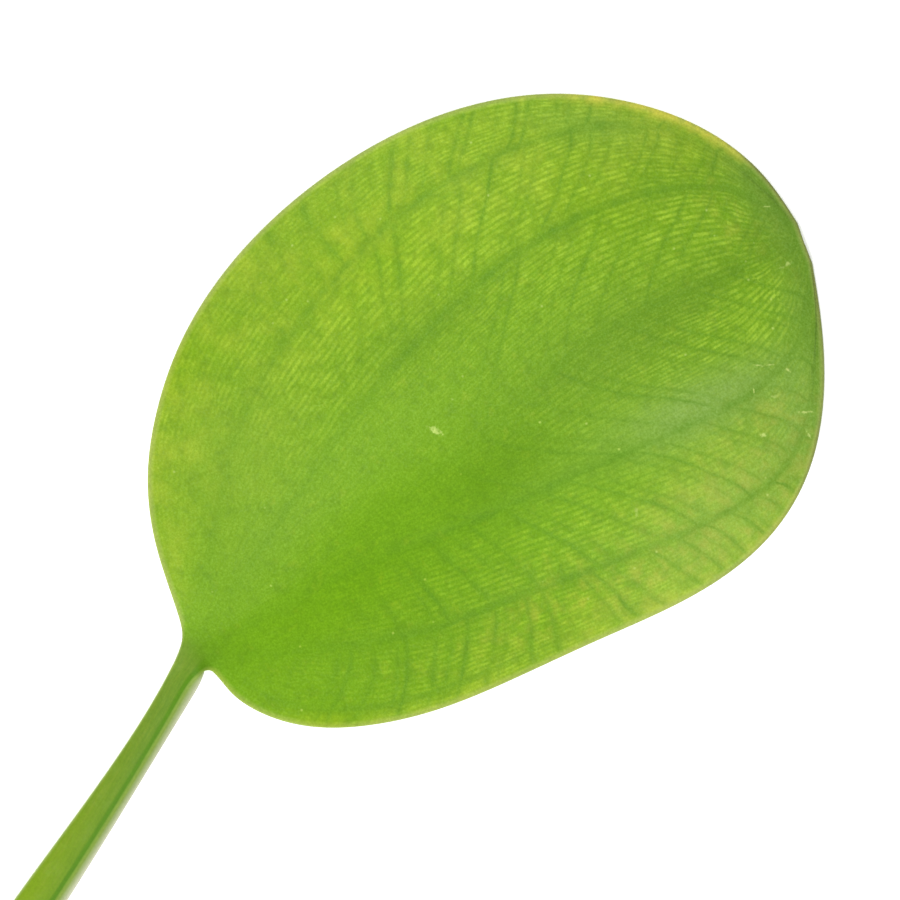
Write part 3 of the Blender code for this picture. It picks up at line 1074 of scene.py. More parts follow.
    def mesh(
        self, piece: Piece, quads: Array, cap: Array, surface: Surface,
        materials: dict[str, bpy.types.Material], shift: Vector,
    ) -> bpy.types.Object:
        """Make one piece's mesh from its share of the leaf's faces.

        Args:
            piece: the piece.
            quads: its faces on the outside of the leaf, as numbers of points.
            cap: the faces that close it where the leaf is parted.
            surface: the points of the whole leaf.
            materials: the finished materials by name.
            shift: move in metres from the leaf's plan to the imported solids.

        Returns:
            The new object.
        """
        groups = {FaceKind.SKIN: self.without_repeats(quads), FaceKind.PARTING: self.without_repeats(cap)}
        new_points = np.zeros((0, 3))
        if piece is Piece.STALK:
            new_points, groups[FaceKind.CUT] = self.cut_end(len(surface.points))
        faces = [face for group in groups.values() for face in group]
        kinds = [kind for kind, group in groups.items() for _ in group]
        every_point = np.concatenate([surface.points, new_points])
        used = np.unique(np.concatenate([np.asarray(face) for face in faces]))
        renumber = np.full(len(every_point), -1)
        renumber[used] = np.arange(len(used))
        places = every_point[used]
        made = bpy.data.meshes.new(piece.slot)
        in_metres = (places * MM + np.array(shift)).tolist()
        made.from_pydata(in_metres, [], [renumber[face].tolist() for face in faces])
        for name in ("tissue", "pith"):
            made.materials.append(materials[name])
        made.polygons.foreach_set("material_index", [int(kind is FaceKind.CUT) for kind in kinds])
        made.polygons.foreach_set("use_smooth", [kind is not FaceKind.PARTING for kind in kinds])
        self.write_readings(made, surface, used, places)
        item = bpy.data.objects.new(piece.slot, made)
        bpy.context.scene.collection.objects.link(item)
        self.write_normals(made, surface, used, np.repeat(kinds, [len(face) for face in faces]))
        return item

    @staticmethod
    def write_readings(made: bpy.types.Mesh, surface: Surface, used: Array, places: Array) -> None:
        """Give a mesh what its material reads at each point; on the cut itself every reading is 0.

        Args:
            made: the mesh.
            surface: the points of the whole leaf.
            used: number in the whole leaf of each point of the mesh.
            places: where each of them lies in the leaf's plan.
        """
        on_leaf = used < len(surface.points)
        for name, values in surface.readings.items():
            layer = made.attributes.new(name, "FLOAT", "POINT")
            data = np.zeros(len(used))
            data[on_leaf] = values[used[on_leaf]]
            layer.data.foreach_set("value", data.astype(np.float32))
        plan = made.attributes.new("plan", "FLOAT_VECTOR", "POINT")
        plan.data.foreach_set("vector", places.astype(np.float32).reshape(-1))

    @staticmethod
    def write_normals(made: bpy.types.Mesh, surface: Surface, used: Array, kinds: Array) -> None:
        """Shade a mesh's skin by the whole leaf's normals, so that the two pieces meet without a seam.

        Args:
            made: the mesh.
            surface: the points of the whole leaf.
            used: number in the whole leaf of each point of the mesh.
            kinds: what the face at each corner of the mesh belongs to.
        """
        corners = np.zeros(len(made.loops), int)
        made.loops.foreach_get("vertex_index", corners)
        source = used[corners]
        on_leaf = (kinds == FaceKind.SKIN) & (source < len(surface.points))
        normals = np.zeros((len(corners), 3))
        normals[on_leaf] = surface.normals[source[on_leaf]]
        made.normals_split_custom_set(normals.tolist())

    def cut_end(self, start: int) -> tuple[Array, list[list[int]]]:
        """The cut across the stalk: a firm rind round pith with rows of air channels.

        Args:
            start: number of the first new point.

        Returns:
            The new points, and the faces from the first ring of the leaf inwards.
        """
        outer = self.rings[0]
        count = len(outer)
        middle = outer.mean(axis=0)
        into = self.rings[1].mean(axis=0) - middle
        into /= np.linalg.norm(into)
        side = np.cross(into, (0, 0, 1))
        side /= np.linalg.norm(side)
        radius = np.linalg.norm(outer - middle, axis=1)
        rings = []
        for step in range(1, self.cut_rings):
            share = 1 - step / self.cut_rings
            ring = middle + (outer - middle) * share
            depth = self.channel_depth_at(ring, middle, side, radius * (1 - share))
            rings.append(ring + into * depth[:, None])
        points = np.concatenate([*rings, [middle]])
        numbers = [np.arange(count)] + [start + np.arange(count) + i * count for i in range(len(rings))]
        faces = []
        for ring, inner in zip(numbers, numbers[1:]):
            for i in range(count):
                faces.append([int(ring[i]), int(inner[i]), int(inner[i - 1]), int(ring[i - 1])])
        last, centre = numbers[-1], start + len(points) - 1
        faces += [[int(last[i]), centre, int(last[i - 1])] for i in range(count)]
        return points, faces

    def channel_depth_at(self, points: Array, middle: Array, side: Array, inset: Array) -> Array:
        """How deep the cut face lies, where the air channels open in it in a honeycomb.

        Args:
            points: points of the cut face.
            middle: its middle.
            side: level direction across the stalk.
            inset: how far each point is from the skin.

        Returns:
            The depth at each point.
        """
        away = points - middle
        x = away @ side / self.channel_spacing
        y = away[:, 2] / (self.channel_spacing * HONEYCOMB_ROW)
        row = np.round(y)
        nearest = np.round(x - 0.5 * (row % 2)) + 0.5 * (row % 2)
        gap = np.hypot(x - nearest, (y - row) * HONEYCOMB_ROW)
        return self.channel_depth * ramp(gap, *self.channel_sides) * ramp(inset, *self.rind)


@dataclass(frozen=True)
class Layer:
    """A colour laid over others where something is read, by its strength or by what a span turns that to."""

    read: str
    colour: str
    span: Optional[Span] = None
    smooth: bool = False


@dataclass
class Sheet:
    """The node sheet of one material, and what is known of each point by name."""

    material: bpy.types.Material
    read: dict[str, Value] = field(default_factory=dict)

    def add(
        self, kind: str, *values: Value, named: Optional[dict[str, Value]] = None, out: str = "",
        **settings: object,
    ) -> bpy.types.NodeSocket:
        """Add a node with its settings and links.

        Args:
            kind: type of the node, without the words ShaderNode.
            values: a number or an output for each input in order; None leaves one as it is.
            named: the same for inputs given by name.
            out: name of the output wanted; the first one if left out.
            settings: the node's own properties.

        Returns:
            That output of the new node.
        """
        tree = self.material.node_tree
        node = tree.nodes.new("ShaderNode" + kind)
        for name, setting in settings.items():
            setattr(node, name, setting)
        pairs = list(zip(node.inputs, values))
        pairs += [(node.inputs[name], value) for name, value in (named or {}).items()]
        for socket, value in pairs:
            if isinstance(value, bpy.types.NodeSocket):
                tree.links.new(value, socket)
            elif value is not None:
                socket.default_value = value
        return node.outputs[out] if out else next(iter(node.outputs), None)

    def held_back(self, value: Value, spans: tuple[tuple[str, Span], ...]) -> Value:
        """Hold a value back.

        Args:
            value: the full value.
            spans: names of what is read, each with the share that it leaves.

        Returns:
            What all of them leave of the value.
        """
        for name, span in spans:
            share = self.add("MapRange", self.read[name], *span)
            value = self.add("Math", value, share, operation="MULTIPLY")
        return value

    def lay(self, colour: Value, layers: tuple[Layer, ...]) -> Value:
        """Lay colours over one another.

        Args:
            colour: the lowest one.
            layers: the others from below.

        Returns:
            The colour that shows.
        """
        for layer in layers:
            amount = self.read[layer.read]
            if layer.span:
                amount = self.add("MapRange", amount, *layer.span, **(SMOOTH if layer.smooth else {}))
            colour = self.add("MixRGB", amount, colour, linear(layer.colour))
        return colour


def new_sheet(name: str) -> Sheet:
    """Start a material.

    Args:
        name: the material's name.

    Returns:
        Its empty node sheet.
    """
    material = bpy.data.materials.new(name)
    material.use_nodes = True
    material.node_tree.nodes.clear()
    return Sheet(material)


@dataclass(frozen=True)
class Streaks:
    """Rows of air-filled cells that show through the skin as fine bright streaks along the veins.

    The streaks are 0.3 to 0.4 mm apart, as in the picture; the single cells in them, a tenth of that, are
    too fine to draw. Where the leaf is twice as wide it has twice as many rows.
    """

    spacing: float = 0.36
    length: float = 1.0
    sides: Span = (0.1, 0.38, 0, 1)
    glow: Span = (0.36, 0.6, 0.15, 1)
    row_apart: float = 7.31
    wander: float = 1.2
    doubling: Span = (0.25, 0.75, 0, 1)

    def one_set(self, sheet: Sheet, across: Value, along: Value) -> Value:
        """One set of streaks, each brighter and dimmer along its own way.

        Args:
            sheet: the node sheet.
            across: count of streaks across the veins.
            along: millimetres along the veins.

        Returns:
            Brightness from 0 between the streaks to 1 on the brightest.
        """
        add = sheet.add
        row = add("Math", across, operation="FLOOR")
        side = add("Math", across, 0.5, operation="PINGPONG")
        body = add("MapRange", side, *self.sides, **SMOOTH)
        apart = add("Math", row, self.row_apart, operation="MULTIPLY")
        place = add("CombineXYZ", apart, add("Math", along, 1 / self.length, operation="MULTIPLY"))
        light = add("TexNoise", place, None, 1.0, 1.0, noise_dimensions="2D")
        lit = add("MapRange", light, *self.glow)
        return add("Math", body, lit, operation="MULTIPLY")

    def nodes(self, sheet: Sheet) -> Value:
        """Streaks all over the leaf.

        Args:
            sheet: the node sheet.

        Returns:
            Brightness from 0 between the streaks to 1 on the brightest.
        """
        add, read = sheet.add, sheet.read
        wander = add("Math", read["wander"], self.wander, operation="MULTIPLY")
        share = add("Math", read["spread"], self.spacing, operation="DIVIDE")
        level = add("Math", share, 2.0, operation="LOGARITHM")
        whole = add("Math", level, operation="FLOOR")
        over = add("Math", level, operation="FRACT")
        between = add("MapRange", over, *self.doubling, **SMOOTH)
        count = add("Math", 2.0, whole, operation="POWER")
        across = add("Math", read["label"], count, wander, operation="MULTIPLY_ADD")
        doubled = add("Math", across, 2.0, operation="MULTIPLY")
        wide, narrow = (self.one_set(sheet, rows, read["run"]) for rows in (across, doubled))
        return add("Mix", between, None, wide, narrow)


@dataclass(frozen=True)
class VeinBands:
    """Soft dark bands along the veins, where no air-filled cells lie under the skin.

    Each has a fine core in a wide soft edge. Widths are in millimetres to each side.
    """

    long_core: float = 0.4
    long_edge: float = 1.4
    cross_core: float = 0.22
    cross_edge: float = 0.65
    core_flat: float = 0.1
    core_strength: float = 0.4
    edge_strength: float = 0.5
    frayed_by: Span = (0.25, 0.75, -0.13, 0.13)
    cross_frayed: float = 0.6
    thinned_to: Span = (0.3, 0.65, 0.5, 1.1)

    def nodes(self, sheet: Sheet, cross_veins: CrossVeins) -> Value:
        """Dark bands of the long veins and the cross veins.

        Args:
            sheet: the node sheet.
            cross_veins: the leaf's cross veins.

        Returns:
            Strength from 0 between the veins to 1 on the darkest.
        """
        add, read = sheet.add, sheet.read
        off = add("Math", read["label"], 0.5, operation="PINGPONG")
        off = add("Math", off, read["spread"], operation="MULTIPLY")
        frayed = add("MapRange", read["fraying"], *self.frayed_by)
        off = add("Math", off, frayed, operation="ADD")
        gap, strength = cross_veins.nodes(sheet)
        gap = add("Math", gap, add("Math", frayed, self.cross_frayed, operation="MULTIPLY"), operation="ADD")
        cross = add("Math", strength, read["joined"], operation="MULTIPLY")
        found = []
        for away, amount, core, edge in (
            (off, read["band"], self.long_core, self.long_edge),
            (gap, cross, self.cross_core, self.cross_edge),
        ):
            fine = add("MapRange", away, core, core * self.core_flat, 0.0, self.core_strength, **SMOOTH)
            wide = add("MapRange", away, edge, 0.0, 0.0, self.edge_strength, **SMOOTH)
            both = add("Math", fine, wide, operation="ADD")
            found.append(add("Math", both, amount, operation="MULTIPLY"))
        darker = add("Math", *found, operation="MAXIMUM")
        darkest = add("Math", darker, read["margin_vein"], operation="MAXIMUM")
        return sheet.held_back(darkest, (("thinning", self.thinned_to),))


@dataclass(frozen=True)
class Fleck:
    """A small pale scar: its middle, half length and half width in millimetres, its turn and its strength."""

    x: float
    y: float
    length: float
    width: float
    turn_deg: float
    strength: float = 0.9


@dataclass(frozen=True)
class Scars:
    """Small pale scars: the few large ones, and fine points that are thickest near the tip.

    There is room for about one fine point in each square millimetre, at most 0.2 mm across. Flecks are
    stretched in depth, so that the height of the tissue makes no difference.
    """

    point_room: float = 1.1
    points_missed: Span = (0, 1, 0.89, 0.45)
    point_size: Span = (0.13, 0.03, 0, 0.6)
    ragged_by: Span = (0.3, 0.7, -0.7, 0.7)
    fade: float = 1.5
    depth: float = 40
    flecks: tuple[Fleck, ...] = (
        Fleck(-3.45, 21.8, 0.42, 0.18, 30), Fleck(0.43, 47.84, 0.45, 0.1, 90, 0.6),
        Fleck(-3.6, 48.9, 0.25, 0.05, 56, 0.6), Fleck(6.4, 43.9, 0.2, 0.08, 20),
        Fleck(9.4, 43.3, 0.5, 0.07, 56), Fleck(9.1, 40.1, 0.18, 0.13, 80), Fleck(10.8, 42.7, 0.35, 0.08, 0),
        Fleck(7.35, 42.1, 0.25, 0.12, 56, 0.4), Fleck(6.2, 41.2, 0.2, 0.05, -20),
        Fleck(8.57, 30.1, 0.35, 0.12, -30, 0.4), Fleck(5.0, 42.4, 0.35, 0.07, 50),
        Fleck(5.4, 43.1, 0.3, 0.06, 62),
    )

    def nodes(self, sheet: Sheet) -> Value:
        """All scars of the upper face.

        Args:
            sheet: the node sheet.

        Returns:
            Strength of the scars.
        """
        add, read = sheet.add, sheet.read
        plan = read["plan"]
        point = add("TexVoronoi", plan, None, self.point_room, out="Distance")
        chance = add("SeparateColor", add("TexVoronoi", plan, None, self.point_room, out="Color"))
        need = add("MapRange", read["pitted"], *self.points_missed)
        chosen = add("Math", chance, need, operation="GREATER_THAN")
        dot = add("MapRange", point, *self.point_size)
        total = add("Math", dot, chosen, operation="MULTIPLY")
        ragged = add("MapRange", read["raggedness"], *self.ragged_by)
        for fleck in self.flecks:
            turn = (0.0, 0.0, math.radians(fleck.turn_deg))
            size = (fleck.length, fleck.width, self.depth)
            near = add("Mapping", plan, (fleck.x, fleck.y, 0.0), turn, size, vector_type="TEXTURE")
            away = add("VectorMath", near, out="Value", operation="LENGTH")
            away = add("Math", away, ragged, operation="ADD")
            spot = add("MapRange", away, self.fade, 0.0, 0.0, fleck.strength, **SMOOTH)
            total = add("Math", total, spot, operation="MAXIMUM")
        return total


@dataclass(frozen=True)
class StalkColours:
    """Colours of the stalk: dull green on top, a painted shade line inside the right ridge, a pale right
    flank.

    Most are laid by how far round from the right ridge a place is, in millimetres: above zero on the top,
    below zero on the keel.
    """

    green: str = "#5B7820"
    fresh: str = "#6D8A0B"
    freshens: Span = (-4, -26, 0, 1)
    shade_line_at: float = 0.24
    # Brown fibres and a trace of grey-green in random patches, painted shade that deepens towards the right
    # ridge and a painted shade line inside it, the pale left edge, then the right flank as it pales towards
    # the keel, partly its own pale colour and partly a painted highlight, and the keel's own green.
    layers: tuple[Layer, ...] = (
        Layer("fibre", "#6E7A28", (0.45, 0.7, 0, 0.4)),
        Layer("stalk_mottle", "#7A984C", (0.5, 0.7, 0, 0.12)),
        # Painted shade that deepens towards the right ridge.
        Layer("round", "#467004", (1.5, 0.25, 0, 0.45)),
        # Painted shade line just inside the right ridge.
        Layer("off_shade_line", "#467004", (0.32, 0.08, 0, 1), smooth=True),
        Layer("label", "#7F8F4C", (-2.6, -2.9, 0, 0.75)),
        Layer("round", "#738B3A", (0.16, -0.04, 0, 1)),
        # Pale right flank: partly its own pale colour, partly a painted highlight.
        Layer("round", "#B0B297", (-0.12, -0.85, 0, 1)),
        Layer("round", "#8BA25A", (-1.2, -2, 0, 1)),
    )
    uneven: Span = (0.3, 0.7, 0.93, 1.07)

    def nodes(self, sheet: Sheet) -> Value:
        """Colour all round the stalk.

        Args:
            sheet: the node sheet.

        Returns:
            The colour.
        """
        add, read = sheet.add, sheet.read
        freshened = add("MapRange", read["run"], *self.freshens)
        plain = add("MixRGB", freshened, linear(self.green), linear(self.fresh))
        # Painted shade line: how far each place is from it.
        off_shade_line = add("Math", read["round"], self.shade_line_at, operation="SUBTRACT")
        read["off_shade_line"] = add("Math", off_shade_line, operation="ABSOLUTE")
        colour = sheet.lay(plain, self.layers)
        uneven = add("MapRange", read["stalk_grain"], *self.uneven)
        uneven = sheet.held_back(uneven, (("fibre", self.uneven),))
        return add("VectorMath", colour, None, None, uneven, operation="SCALE")


@dataclass(frozen=True)
class BladeColours:
    """Colours of the blade, laid over the green of its tissue one by one."""

    ground: str = "#658F10"
    cell_light: str = "#97B832"
    deep_and_shade_tint: str = "#ECF77C"
    under_green: str = "#8BA155"
    under_net: str = "#708B34"
    streak_light: float = 0.85
    blob_light: float = 0.2
    blob_edges: Span = (0.38, 0.68, 0, 1)
    # How much of the light of the air-filled cells is left, by what is read.
    light_left: tuple[tuple[str, Span], ...] = (
        ("mottle", (0.3, 0.65, 0.55, 1)),
        ("from_foot", (5, 20, 0.2, 1)),
        ("bare", (0, 1, 1, 0.15)),
        ("deep", (0, 1, 1, 0.5)),
        ("bloom", (0, 1, 1, 0.5)),
        ("shade", (0, 1, 1, 0.6)),
        ("dark_band", (0, 0.8, 1, 0.2)),
        ("grain", (0.3, 0.6, 0.65, 1)),
    )
    ripe_clumps: Span = (0.42, 0.68, 0.35, 1)
    ripe_spots: Span = (0.6, 0.75, 0, 0.3)
    rosy_spots: Span = (0.38, 0.72, 0, 0.75)
    sheen_left: Span = (0.35, 0.65, 0.5, 0.8)
    band_left: Span = (0.3, 0.62, 0.45, 1)
    withered_left: Span = (0.36, 0.58, 0.45, 1)
    brown_rim: Span = (0.26, 0.1, 0, 0.9)
    brown_least: float = 0.25
    brown_left: Span = (0.1, 0.6, 1, 0.3)
    # Yellow and rosy ripe tissue, dull clumps, a painted sheen, veins, shade, the pale edge, a painted fine
    # sheen grain, straw and amber where it withered, the brown edge, and the scars over all.
    layers: tuple[Layer, ...] = (
        Layer("ripe_parts", "#98AA2E"),
        Layer("rosy_parts", "#A1A33C"),
        Layer("dull_clump", "#4C7117", (0.48, 0.7, 0, 0.36)),
        # Painted sheen, as a pale grey-green haze.
        Layer("sheen_haze", "#7A984C"),
        Layer("vein_parts", "#55801C"),
        Layer("shade", "#4C7117"),
        Layer("rim", "#A2AC60", (0.45, 0.1, 0, 0.5)),
        # Painted fine sheen grain: faint pale grey specks.
        Layer("dust", "#A9B79A", (0.46, 0.75, 0, 0.05)),
        Layer("withered_parts", "#B9B843", (0.05, 0.7, 0, 0.95)),
        Layer("burnt_parts", "#B8A046", (0.36, 0.55, 0, 0.6)),
        Layer("brown_parts", "#6E7238"),
        Layer("scars", "#A9BD66"),
    )
    grain_uneven: Span = (0.3, 0.7, 0.94, 1.06)
    sheen_grain_uneven: Span = (0.3, 0.7, 0.89, 1.11)

    def tissue(self, sheet: Sheet) -> Value:
        """Green of the tissue, lit where air-filled cells lie under the skin.

        Args:
            sheet: the node sheet.

        Returns:
            The colour.
        """
        add, read = sheet.add, sheet.read
        flat = add("VectorMath", read["plan"], (1.0, 1.0, 0.0), operation="MULTIPLY")
        read["from_foot"] = add("VectorMath", flat, out="Value", operation="LENGTH")
        blob = add("MapRange", read["blob"], *self.blob_edges)
        blob = add("Math", blob, self.blob_light, operation="MULTIPLY")
        light = add("Math", read["streaks"], self.streak_light, blob, operation="MULTIPLY_ADD")
        light = sheet.held_back(light, self.light_left)
        return add("MixRGB", light, linear(self.ground), linear(self.cell_light))

    def upper(self, sheet: Sheet) -> Value:
        """Colour of the blade's upper face.

        Args:
            sheet: the node sheet.

        Returns:
            The colour.
        """
        add, read = sheet.add, sheet.read
        small_clump = read["small_clump"]
        ripe = sheet.held_back(read["ripe"], (("wide_clump", self.ripe_clumps),))
        ripe_spots = add("MapRange", small_clump, *self.ripe_spots)
        rosy_spots = add("MapRange", small_clump, *self.rosy_spots, **SMOOTH)
        withered = sheet.held_back(read["withered"], (("withering", self.withered_left),))
        browned = add("Math", read["browned"], self.brown_least, operation="MAXIMUM")
        browned = add("Math", add("MapRange", read["rim"], *self.brown_rim), browned, operation="MULTIPLY")
        read["ripe_parts"] = add("Math", ripe, ripe_spots, operation="MAXIMUM")
        read["rosy_parts"] = add("Math", read["rosy"], rosy_spots, operation="MULTIPLY")
        # Painted sheen, held back where the grain is low.
        read["sheen_haze"] = sheet.held_back(read["bloom"], (("grain", self.sheen_left),))
        read["vein_parts"] = sheet.held_back(read["dark_band"], (("small_clump", self.band_left),))
        read["withered_parts"] = withered
        read["burnt_parts"] = add("Math", withered, read["mottle"], operation="MULTIPLY")
        read["brown_parts"] = sheet.held_back(browned, (("withered_parts", self.brown_left),))
        colour = sheet.lay(self.tissue(sheet), self.layers)
        # Deep green tint, which is partly painted shade.
        colour = add("MixRGB", read["deep"], colour, linear(self.deep_and_shade_tint), blend_type="MULTIPLY")
        # Brightness varies finely with the grain and with the painted sheen grain.
        uneven = add("MapRange", read["grain"], *self.grain_uneven)
        uneven = sheet.held_back(uneven, (("dust", self.sheen_grain_uneven),))
        return add("VectorMath", colour, None, None, uneven, operation="SCALE")

    def under(self, sheet: Sheet) -> Value:
        """Colour of the under face: paler, with the walls of its air cells showing through.

        Args:
            sheet: the node sheet.

        Returns:
            The colour.
        """
        net = linear(self.under_net)
        walls = sheet.add("MixRGB", sheet.read["wall"], linear(self.under_green), net)
        return sheet.add("MixRGB", sheet.read["dark_band"], walls, net)


@dataclass(frozen=True)
class LeafTissue:
    """Fresh leaf tissue under a thin waxy cuticle.

    To the eye it is a yellow-green with a soft sheen. Rows of air-filled cells show through the skin as fine
    bright streaks, and the veins as soft darker bands without them.
    """

    cross_veins: CrossVeins
    streaks: Streaks = Streaks()
    vein_bands: VeinBands = VeinBands()
    scars: Scars = Scars()
    blade: BladeColours = BladeColours()
    stalk: StalkColours = StalkColours()
    name: str = "fresh_leaf_tissue_waxy_cuticle"
    # Clumps of tissue are 1 to 3 mm wide. The finest grain is 0.12 to 0.2 mm, drawn coarser than the real
    # cells of the skin, which are 0.05 mm and don't show at this distance.
    patterns: tuple[tuple[str, Pattern], ...] = (
        ("wander", (0.3, 2)),
        ("fraying", (2.2, 3, 0.6)),
        ("thinning", (0.4, 3, 0.6)),
        ("raggedness", (5, 2)),
        ("mottle", (0.75, 3, 0.6)),
        ("blob", (1.15, 2, 0.6)),
        ("wide_clump", (0.45, 4, 0.65)),
        ("small_clump", (0.95, 3, 0.6)),
        ("dull_clump", (1, 4, 0.7)),
        ("withering", (0.9, 3, 0.6)),
        ("grain", (4.5, 2)),
        # Grain of the painted fine sheen.
        ("dust", (8, 2, 0.6)),
        ("stalk_mottle", (1.1, 4, 0.65)),
        ("stalk_grain", (6, 3, 0.6)),
        ("speck", (7, 3)),
    )
    air_cell: float = 0.8
    wall: Span = (0.14, 0.02, 0, 0.7)
    fibres: Pattern = (5, 4, 0.65)
    fibre_stretch: float = 0.12
    streak_height: float = 0.3
    fibre_height: float = 1.4
    bump_strength: float = 0.5
    bump_height: float = 0.012
    roughness: Span = (0.2, 0.8, 0.36, 0.5)
    sheen_roughness: float = 0.15
    gloss: float = 0.14
    ior: float = 1.42

    def read_mesh(self, sheet: Sheet) -> None:
        """Read off the mesh what it says of each point, and make the patterns from that.

        Args:
            sheet: the node sheet.
        """
        add, read = sheet.add, sheet.read
        read.update({name: add("Attribute", out="Fac", attribute_name=name) for name in READINGS})
        plan = add("Attribute", out="Vector", attribute_name="plan")
        read["plan"] = plan
        read.update({name: add("TexNoise", plan, None, *pattern) for name, pattern in self.patterns})
        read["streaks"] = self.streaks.nodes(sheet)
        read["dark_band"] = self.vein_bands.nodes(sheet, self.cross_veins)
        read["scars"] = self.scars.nodes(sheet)
        net = add("TexVoronoi", plan, None, 1 / self.air_cell, out="Distance", feature="DISTANCE_TO_EDGE")
        read["wall"] = add("MapRange", net, *self.wall)
        along = add("Math", read["run"], self.fibre_stretch, operation="MULTIPLY")
        read["fibre"] = add("TexNoise", add("CombineXYZ", read["round"], along), None, *self.fibres)

    def build(self) -> bpy.types.Material:
        """Make the material.

        Returns:
            The finished material.
        """
        sheet = new_sheet(self.name)
        self.read_mesh(sheet)
        add, read = sheet.add, sheet.read
        colour = add("MixRGB", read["upper"], self.blade.under(sheet), self.blade.upper(sheet))
        colour = add("MixRGB", read["stalk"], colour, self.stalk.nodes(sheet))
        streaked = add("Math", read["streaks"], self.streak_height, read["speck"], operation="MULTIPLY_ADD")
        ribbed = add("Math", read["fibre"], self.fibre_height, read["speck"], operation="MULTIPLY_ADD")
        height = add("Mix", read["upper"], None, read["wall"], streaked)
        height = add("Mix", read["stalk"], None, height, ribbed)
        bump = {"Strength": self.bump_strength, "Distance": self.bump_height * MM, "Height": height}
        rough = add("MapRange", read["speck"], *self.roughness)
        # The skin is a little rougher where the sheen is painted.
        rough = add("Math", read["bloom"], self.sheen_roughness, rough, operation="MULTIPLY_ADD")
        skin = add("BsdfPrincipled", named={
            "Base Color": colour, "Roughness": rough, "IOR": self.ior, "Normal": add("Bump", named=bump),
            "Specular IOR Level": self.gloss,
        })
        add("OutputMaterial", skin)
        return sheet.material


@dataclass(frozen=True)
class CutPith:
    """Spongy pith where the stalk was cut.

    To the eye it is a pale, moist green, a little glossier than the skin, with grains of 0.15 mm.
    """

    name: str = "spongy_pith_cut"
    pale: str = "#A8BC74"
    green: str = "#7D9C44"
    graining: Pattern = (6, 3)
    roughness: float = 0.4
    bump_strength: float = 0.6
    bump_height: float = 0.02

    def build(self) -> bpy.types.Material:
        """Make the material.

        Returns:
            The finished material.
        """
        sheet = new_sheet(self.name)
        add = sheet.add
        place = add("VectorMath", add("TexCoord", out="Object"), (1 / MM,) * 3, operation="MULTIPLY")
        grain = add("TexNoise", place, None, *self.graining)
        colour = add("MixRGB", grain, linear(self.pale), linear(self.green))
        bump = {"Strength": self.bump_strength, "Distance": self.bump_height * MM, "Height": grain}
        skin = {"Base Color": colour, "Roughness": self.roughness, "Normal": add("Bump", named=bump)}
        add("OutputMaterial", add("BsdfPrincipled", named=skin))
        return sheet.material


@dataclass(frozen=True)
class MattePaper:
    """The matte white paper that the leaf lies on, which glows a little so that it comes out pure white."""

    name: str = "matte_white_paper"
    white: str = "#F7F7F7"
    roughness: float = 0.9
    gloss: float = 0.1
    glow: float = 0.36

    def build(self) -> bpy.types.Material:
        """Make the material.

        Returns:
            The finished material.
        """
        sheet = new_sheet(self.name)
        skin = sheet.add("BsdfPrincipled", named={
            "Base Color": linear(self.white), "Roughness": self.roughness,
            "Specular IOR Level": self.gloss,
            "Emission Color": linear(self.white), "Emission Strength": self.glow,
        })
        sheet.add("OutputMaterial", skin)
        return sheet.material


@dataclass(frozen=True)
class Lamp:
    """One soft round lamp, placed by the way to it in the picture: lengths in metres, power in watts."""

    name: str
    right: float
    up: float
    off_vertical_deg: float
    distance: float
    size: float
    watts: float


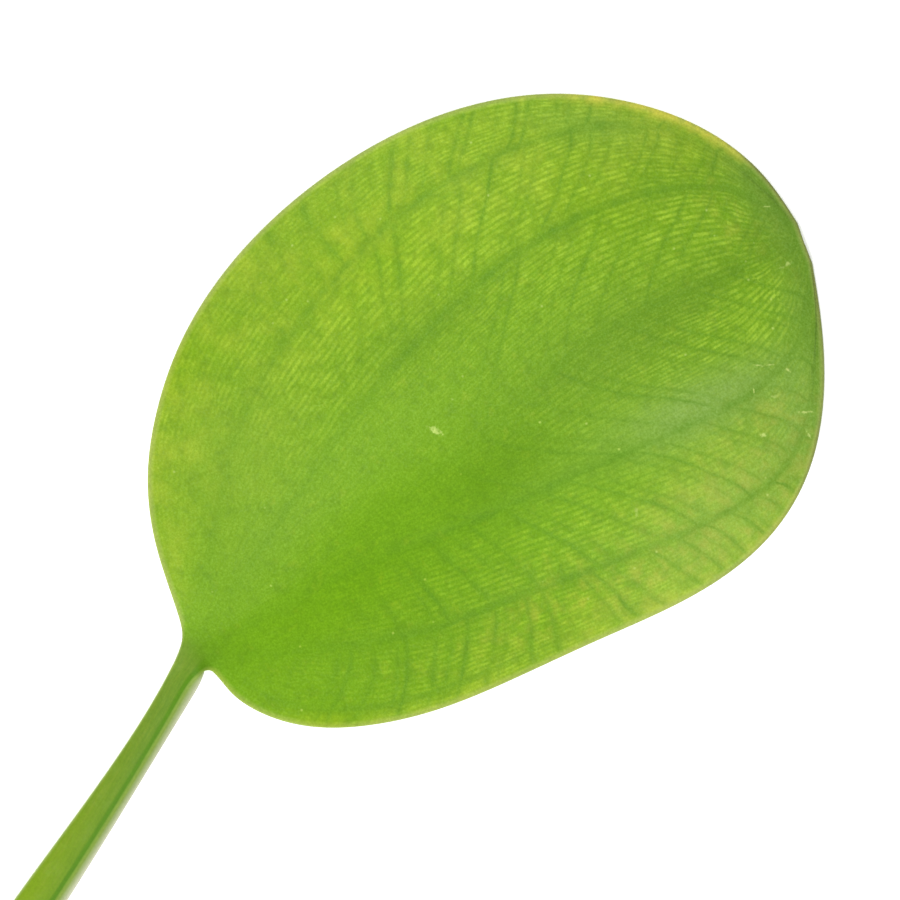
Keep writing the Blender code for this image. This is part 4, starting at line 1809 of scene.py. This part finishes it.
@dataclass
class Studio:
    """White floor, soft lamps, and the camera that looks straight down.

    The middle, width and turn of the picture are in the leaf's plan, in millimetres and degrees. The floor
    and what the camera can see are in metres.
    """

    centre: Pair = (-1.815, 21.92)
    turn_deg: float = 56.22
    frame_width: float = 60.777
    focus_height: float = 1.6
    lens: float = 150
    sensor: float = 36
    seen_from_to: Pair = (0.01, 10)
    floor_size: float = 30
    world_light: float = 0.6
    lamps: tuple[Lamp, ...] = (
        Lamp("key", -0.25, -1, 50, 0.5, 0.3, 2.6),
        Lamp("fill", -0.8, 0.7, 58, 0.6, 0.5, 2.6),
    )

    def build(self, shift: Vector) -> None:
        """Build the studio.

        Args:
            shift: move in metres from the leaf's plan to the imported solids.
        """
        self.add_floor()
        turn = math.radians(self.turn_deg)
        right = Vector((math.cos(turn), math.sin(turn), 0))
        up = Vector((-math.sin(turn), math.cos(turn), 0))
        target = Vector((self.centre[0] * MM + shift.x, self.centre[1] * MM + shift.y, 0))
        for lamp in self.lamps:
            self.add_lamp(lamp, right, up, target)
        self.add_camera(target, turn)
        world = bpy.data.worlds.new("studio")
        world.use_nodes = True
        background = world.node_tree.nodes["Background"]
        background.inputs["Color"].default_value = (1, 1, 1, 1)
        background.inputs["Strength"].default_value = self.world_light
        bpy.context.scene.world = world
        bpy.context.scene.view_settings.view_transform = "Standard"

    def add_floor(self) -> None:
        """Lay the floor at the height that the leaf lies on."""
        bpy.ops.mesh.primitive_plane_add(size=self.floor_size, location=(0, 0, CAD_BOX[0].z))
        floor = bpy.context.object
        floor.name = "floor"
        floor.data.materials.append(MattePaper().build())

    def add_lamp(self, lamp: Lamp, right: Vector, up: Vector, target: Vector) -> None:
        """Hang one lamp so that it faces the leaf.

        Args:
            lamp: the lamp's place, size and power.
            right: the picture's right.
            up: the picture's up.
            target: the point that the picture is centred on.
        """
        away = (right * lamp.right + up * lamp.up).normalized()
        tilt = math.radians(lamp.off_vertical_deg)
        way = away * math.sin(tilt) + Vector((0, 0, math.cos(tilt)))
        data = bpy.data.lights.new(lamp.name, "AREA")
        data.shape = "DISK"
        data.size = lamp.size
        data.energy = lamp.watts
        item = bpy.data.objects.new(lamp.name, data)
        item.location = target + way * lamp.distance
        item.rotation_mode = "QUATERNION"
        item.rotation_quaternion = way.to_track_quat("Z", "Y")
        bpy.context.scene.collection.objects.link(item)

    def add_camera(self, target: Vector, turn: float) -> None:
        """Set the camera straight above the leaf, turned as the picture is.

        Args:
            target: the point that the picture is centred on.
            turn: turn of the picture's right from X.
        """
        data = bpy.data.cameras.new("camera")
        data.lens = self.lens
        data.sensor_width = self.sensor
        data.clip_start, data.clip_end = self.seen_from_to
        item = bpy.data.objects.new("camera", data)
        height = (self.frame_width * self.lens / self.sensor + self.focus_height) * MM
        item.location = target + Vector((0, 0, height + CAD_BOX[0].z))
        item.rotation_euler = (0, 0, turn)
        bpy.context.scene.collection.objects.link(item)
        bpy.context.scene.camera = item


def plan_shift(blade: Blade) -> Vector:
    """Move in metres from the leaf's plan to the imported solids, found from the blade's own box.

    Args:
        blade: the blade's sizes.

    Returns:
        The move.
    """
    plan, _, _ = blade.plan(blade.fractions(), blade.labels())
    low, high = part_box(Piece.BLADE.node)
    x_middle = (plan[..., 0].min() + plan[..., 0].max()) / 2 * MM
    y_high = plan[..., 1].max() * MM
    return Vector(((low.x + high.x) / 2 - x_middle, high.y - y_high, CAD_BOX[0].z))


def main() -> None:
    """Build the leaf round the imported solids, then the studio."""
    logging.basicConfig(level=logging.INFO, format="%(name)s: %(message)s")
    blade = Blade()
    shift = plan_shift(blade)
    cross_veins = CrossVeins()
    materials = {"tissue": LeafTissue(cross_veins).build(), "pith": CutPith().build()}
    leaf = Leaf(blade, Stalk(), Relief(cross_veins), Tones())
    for piece, item in leaf.build(materials, shift).items():
        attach(item, "root")
        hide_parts(piece.node)
        piece.slot
        log.info("%s: %d faces", item.name, len(item.data.polygons))
    Studio().build(shift)
    log.info("studio built")


if __name__ == "__main__":
    main()
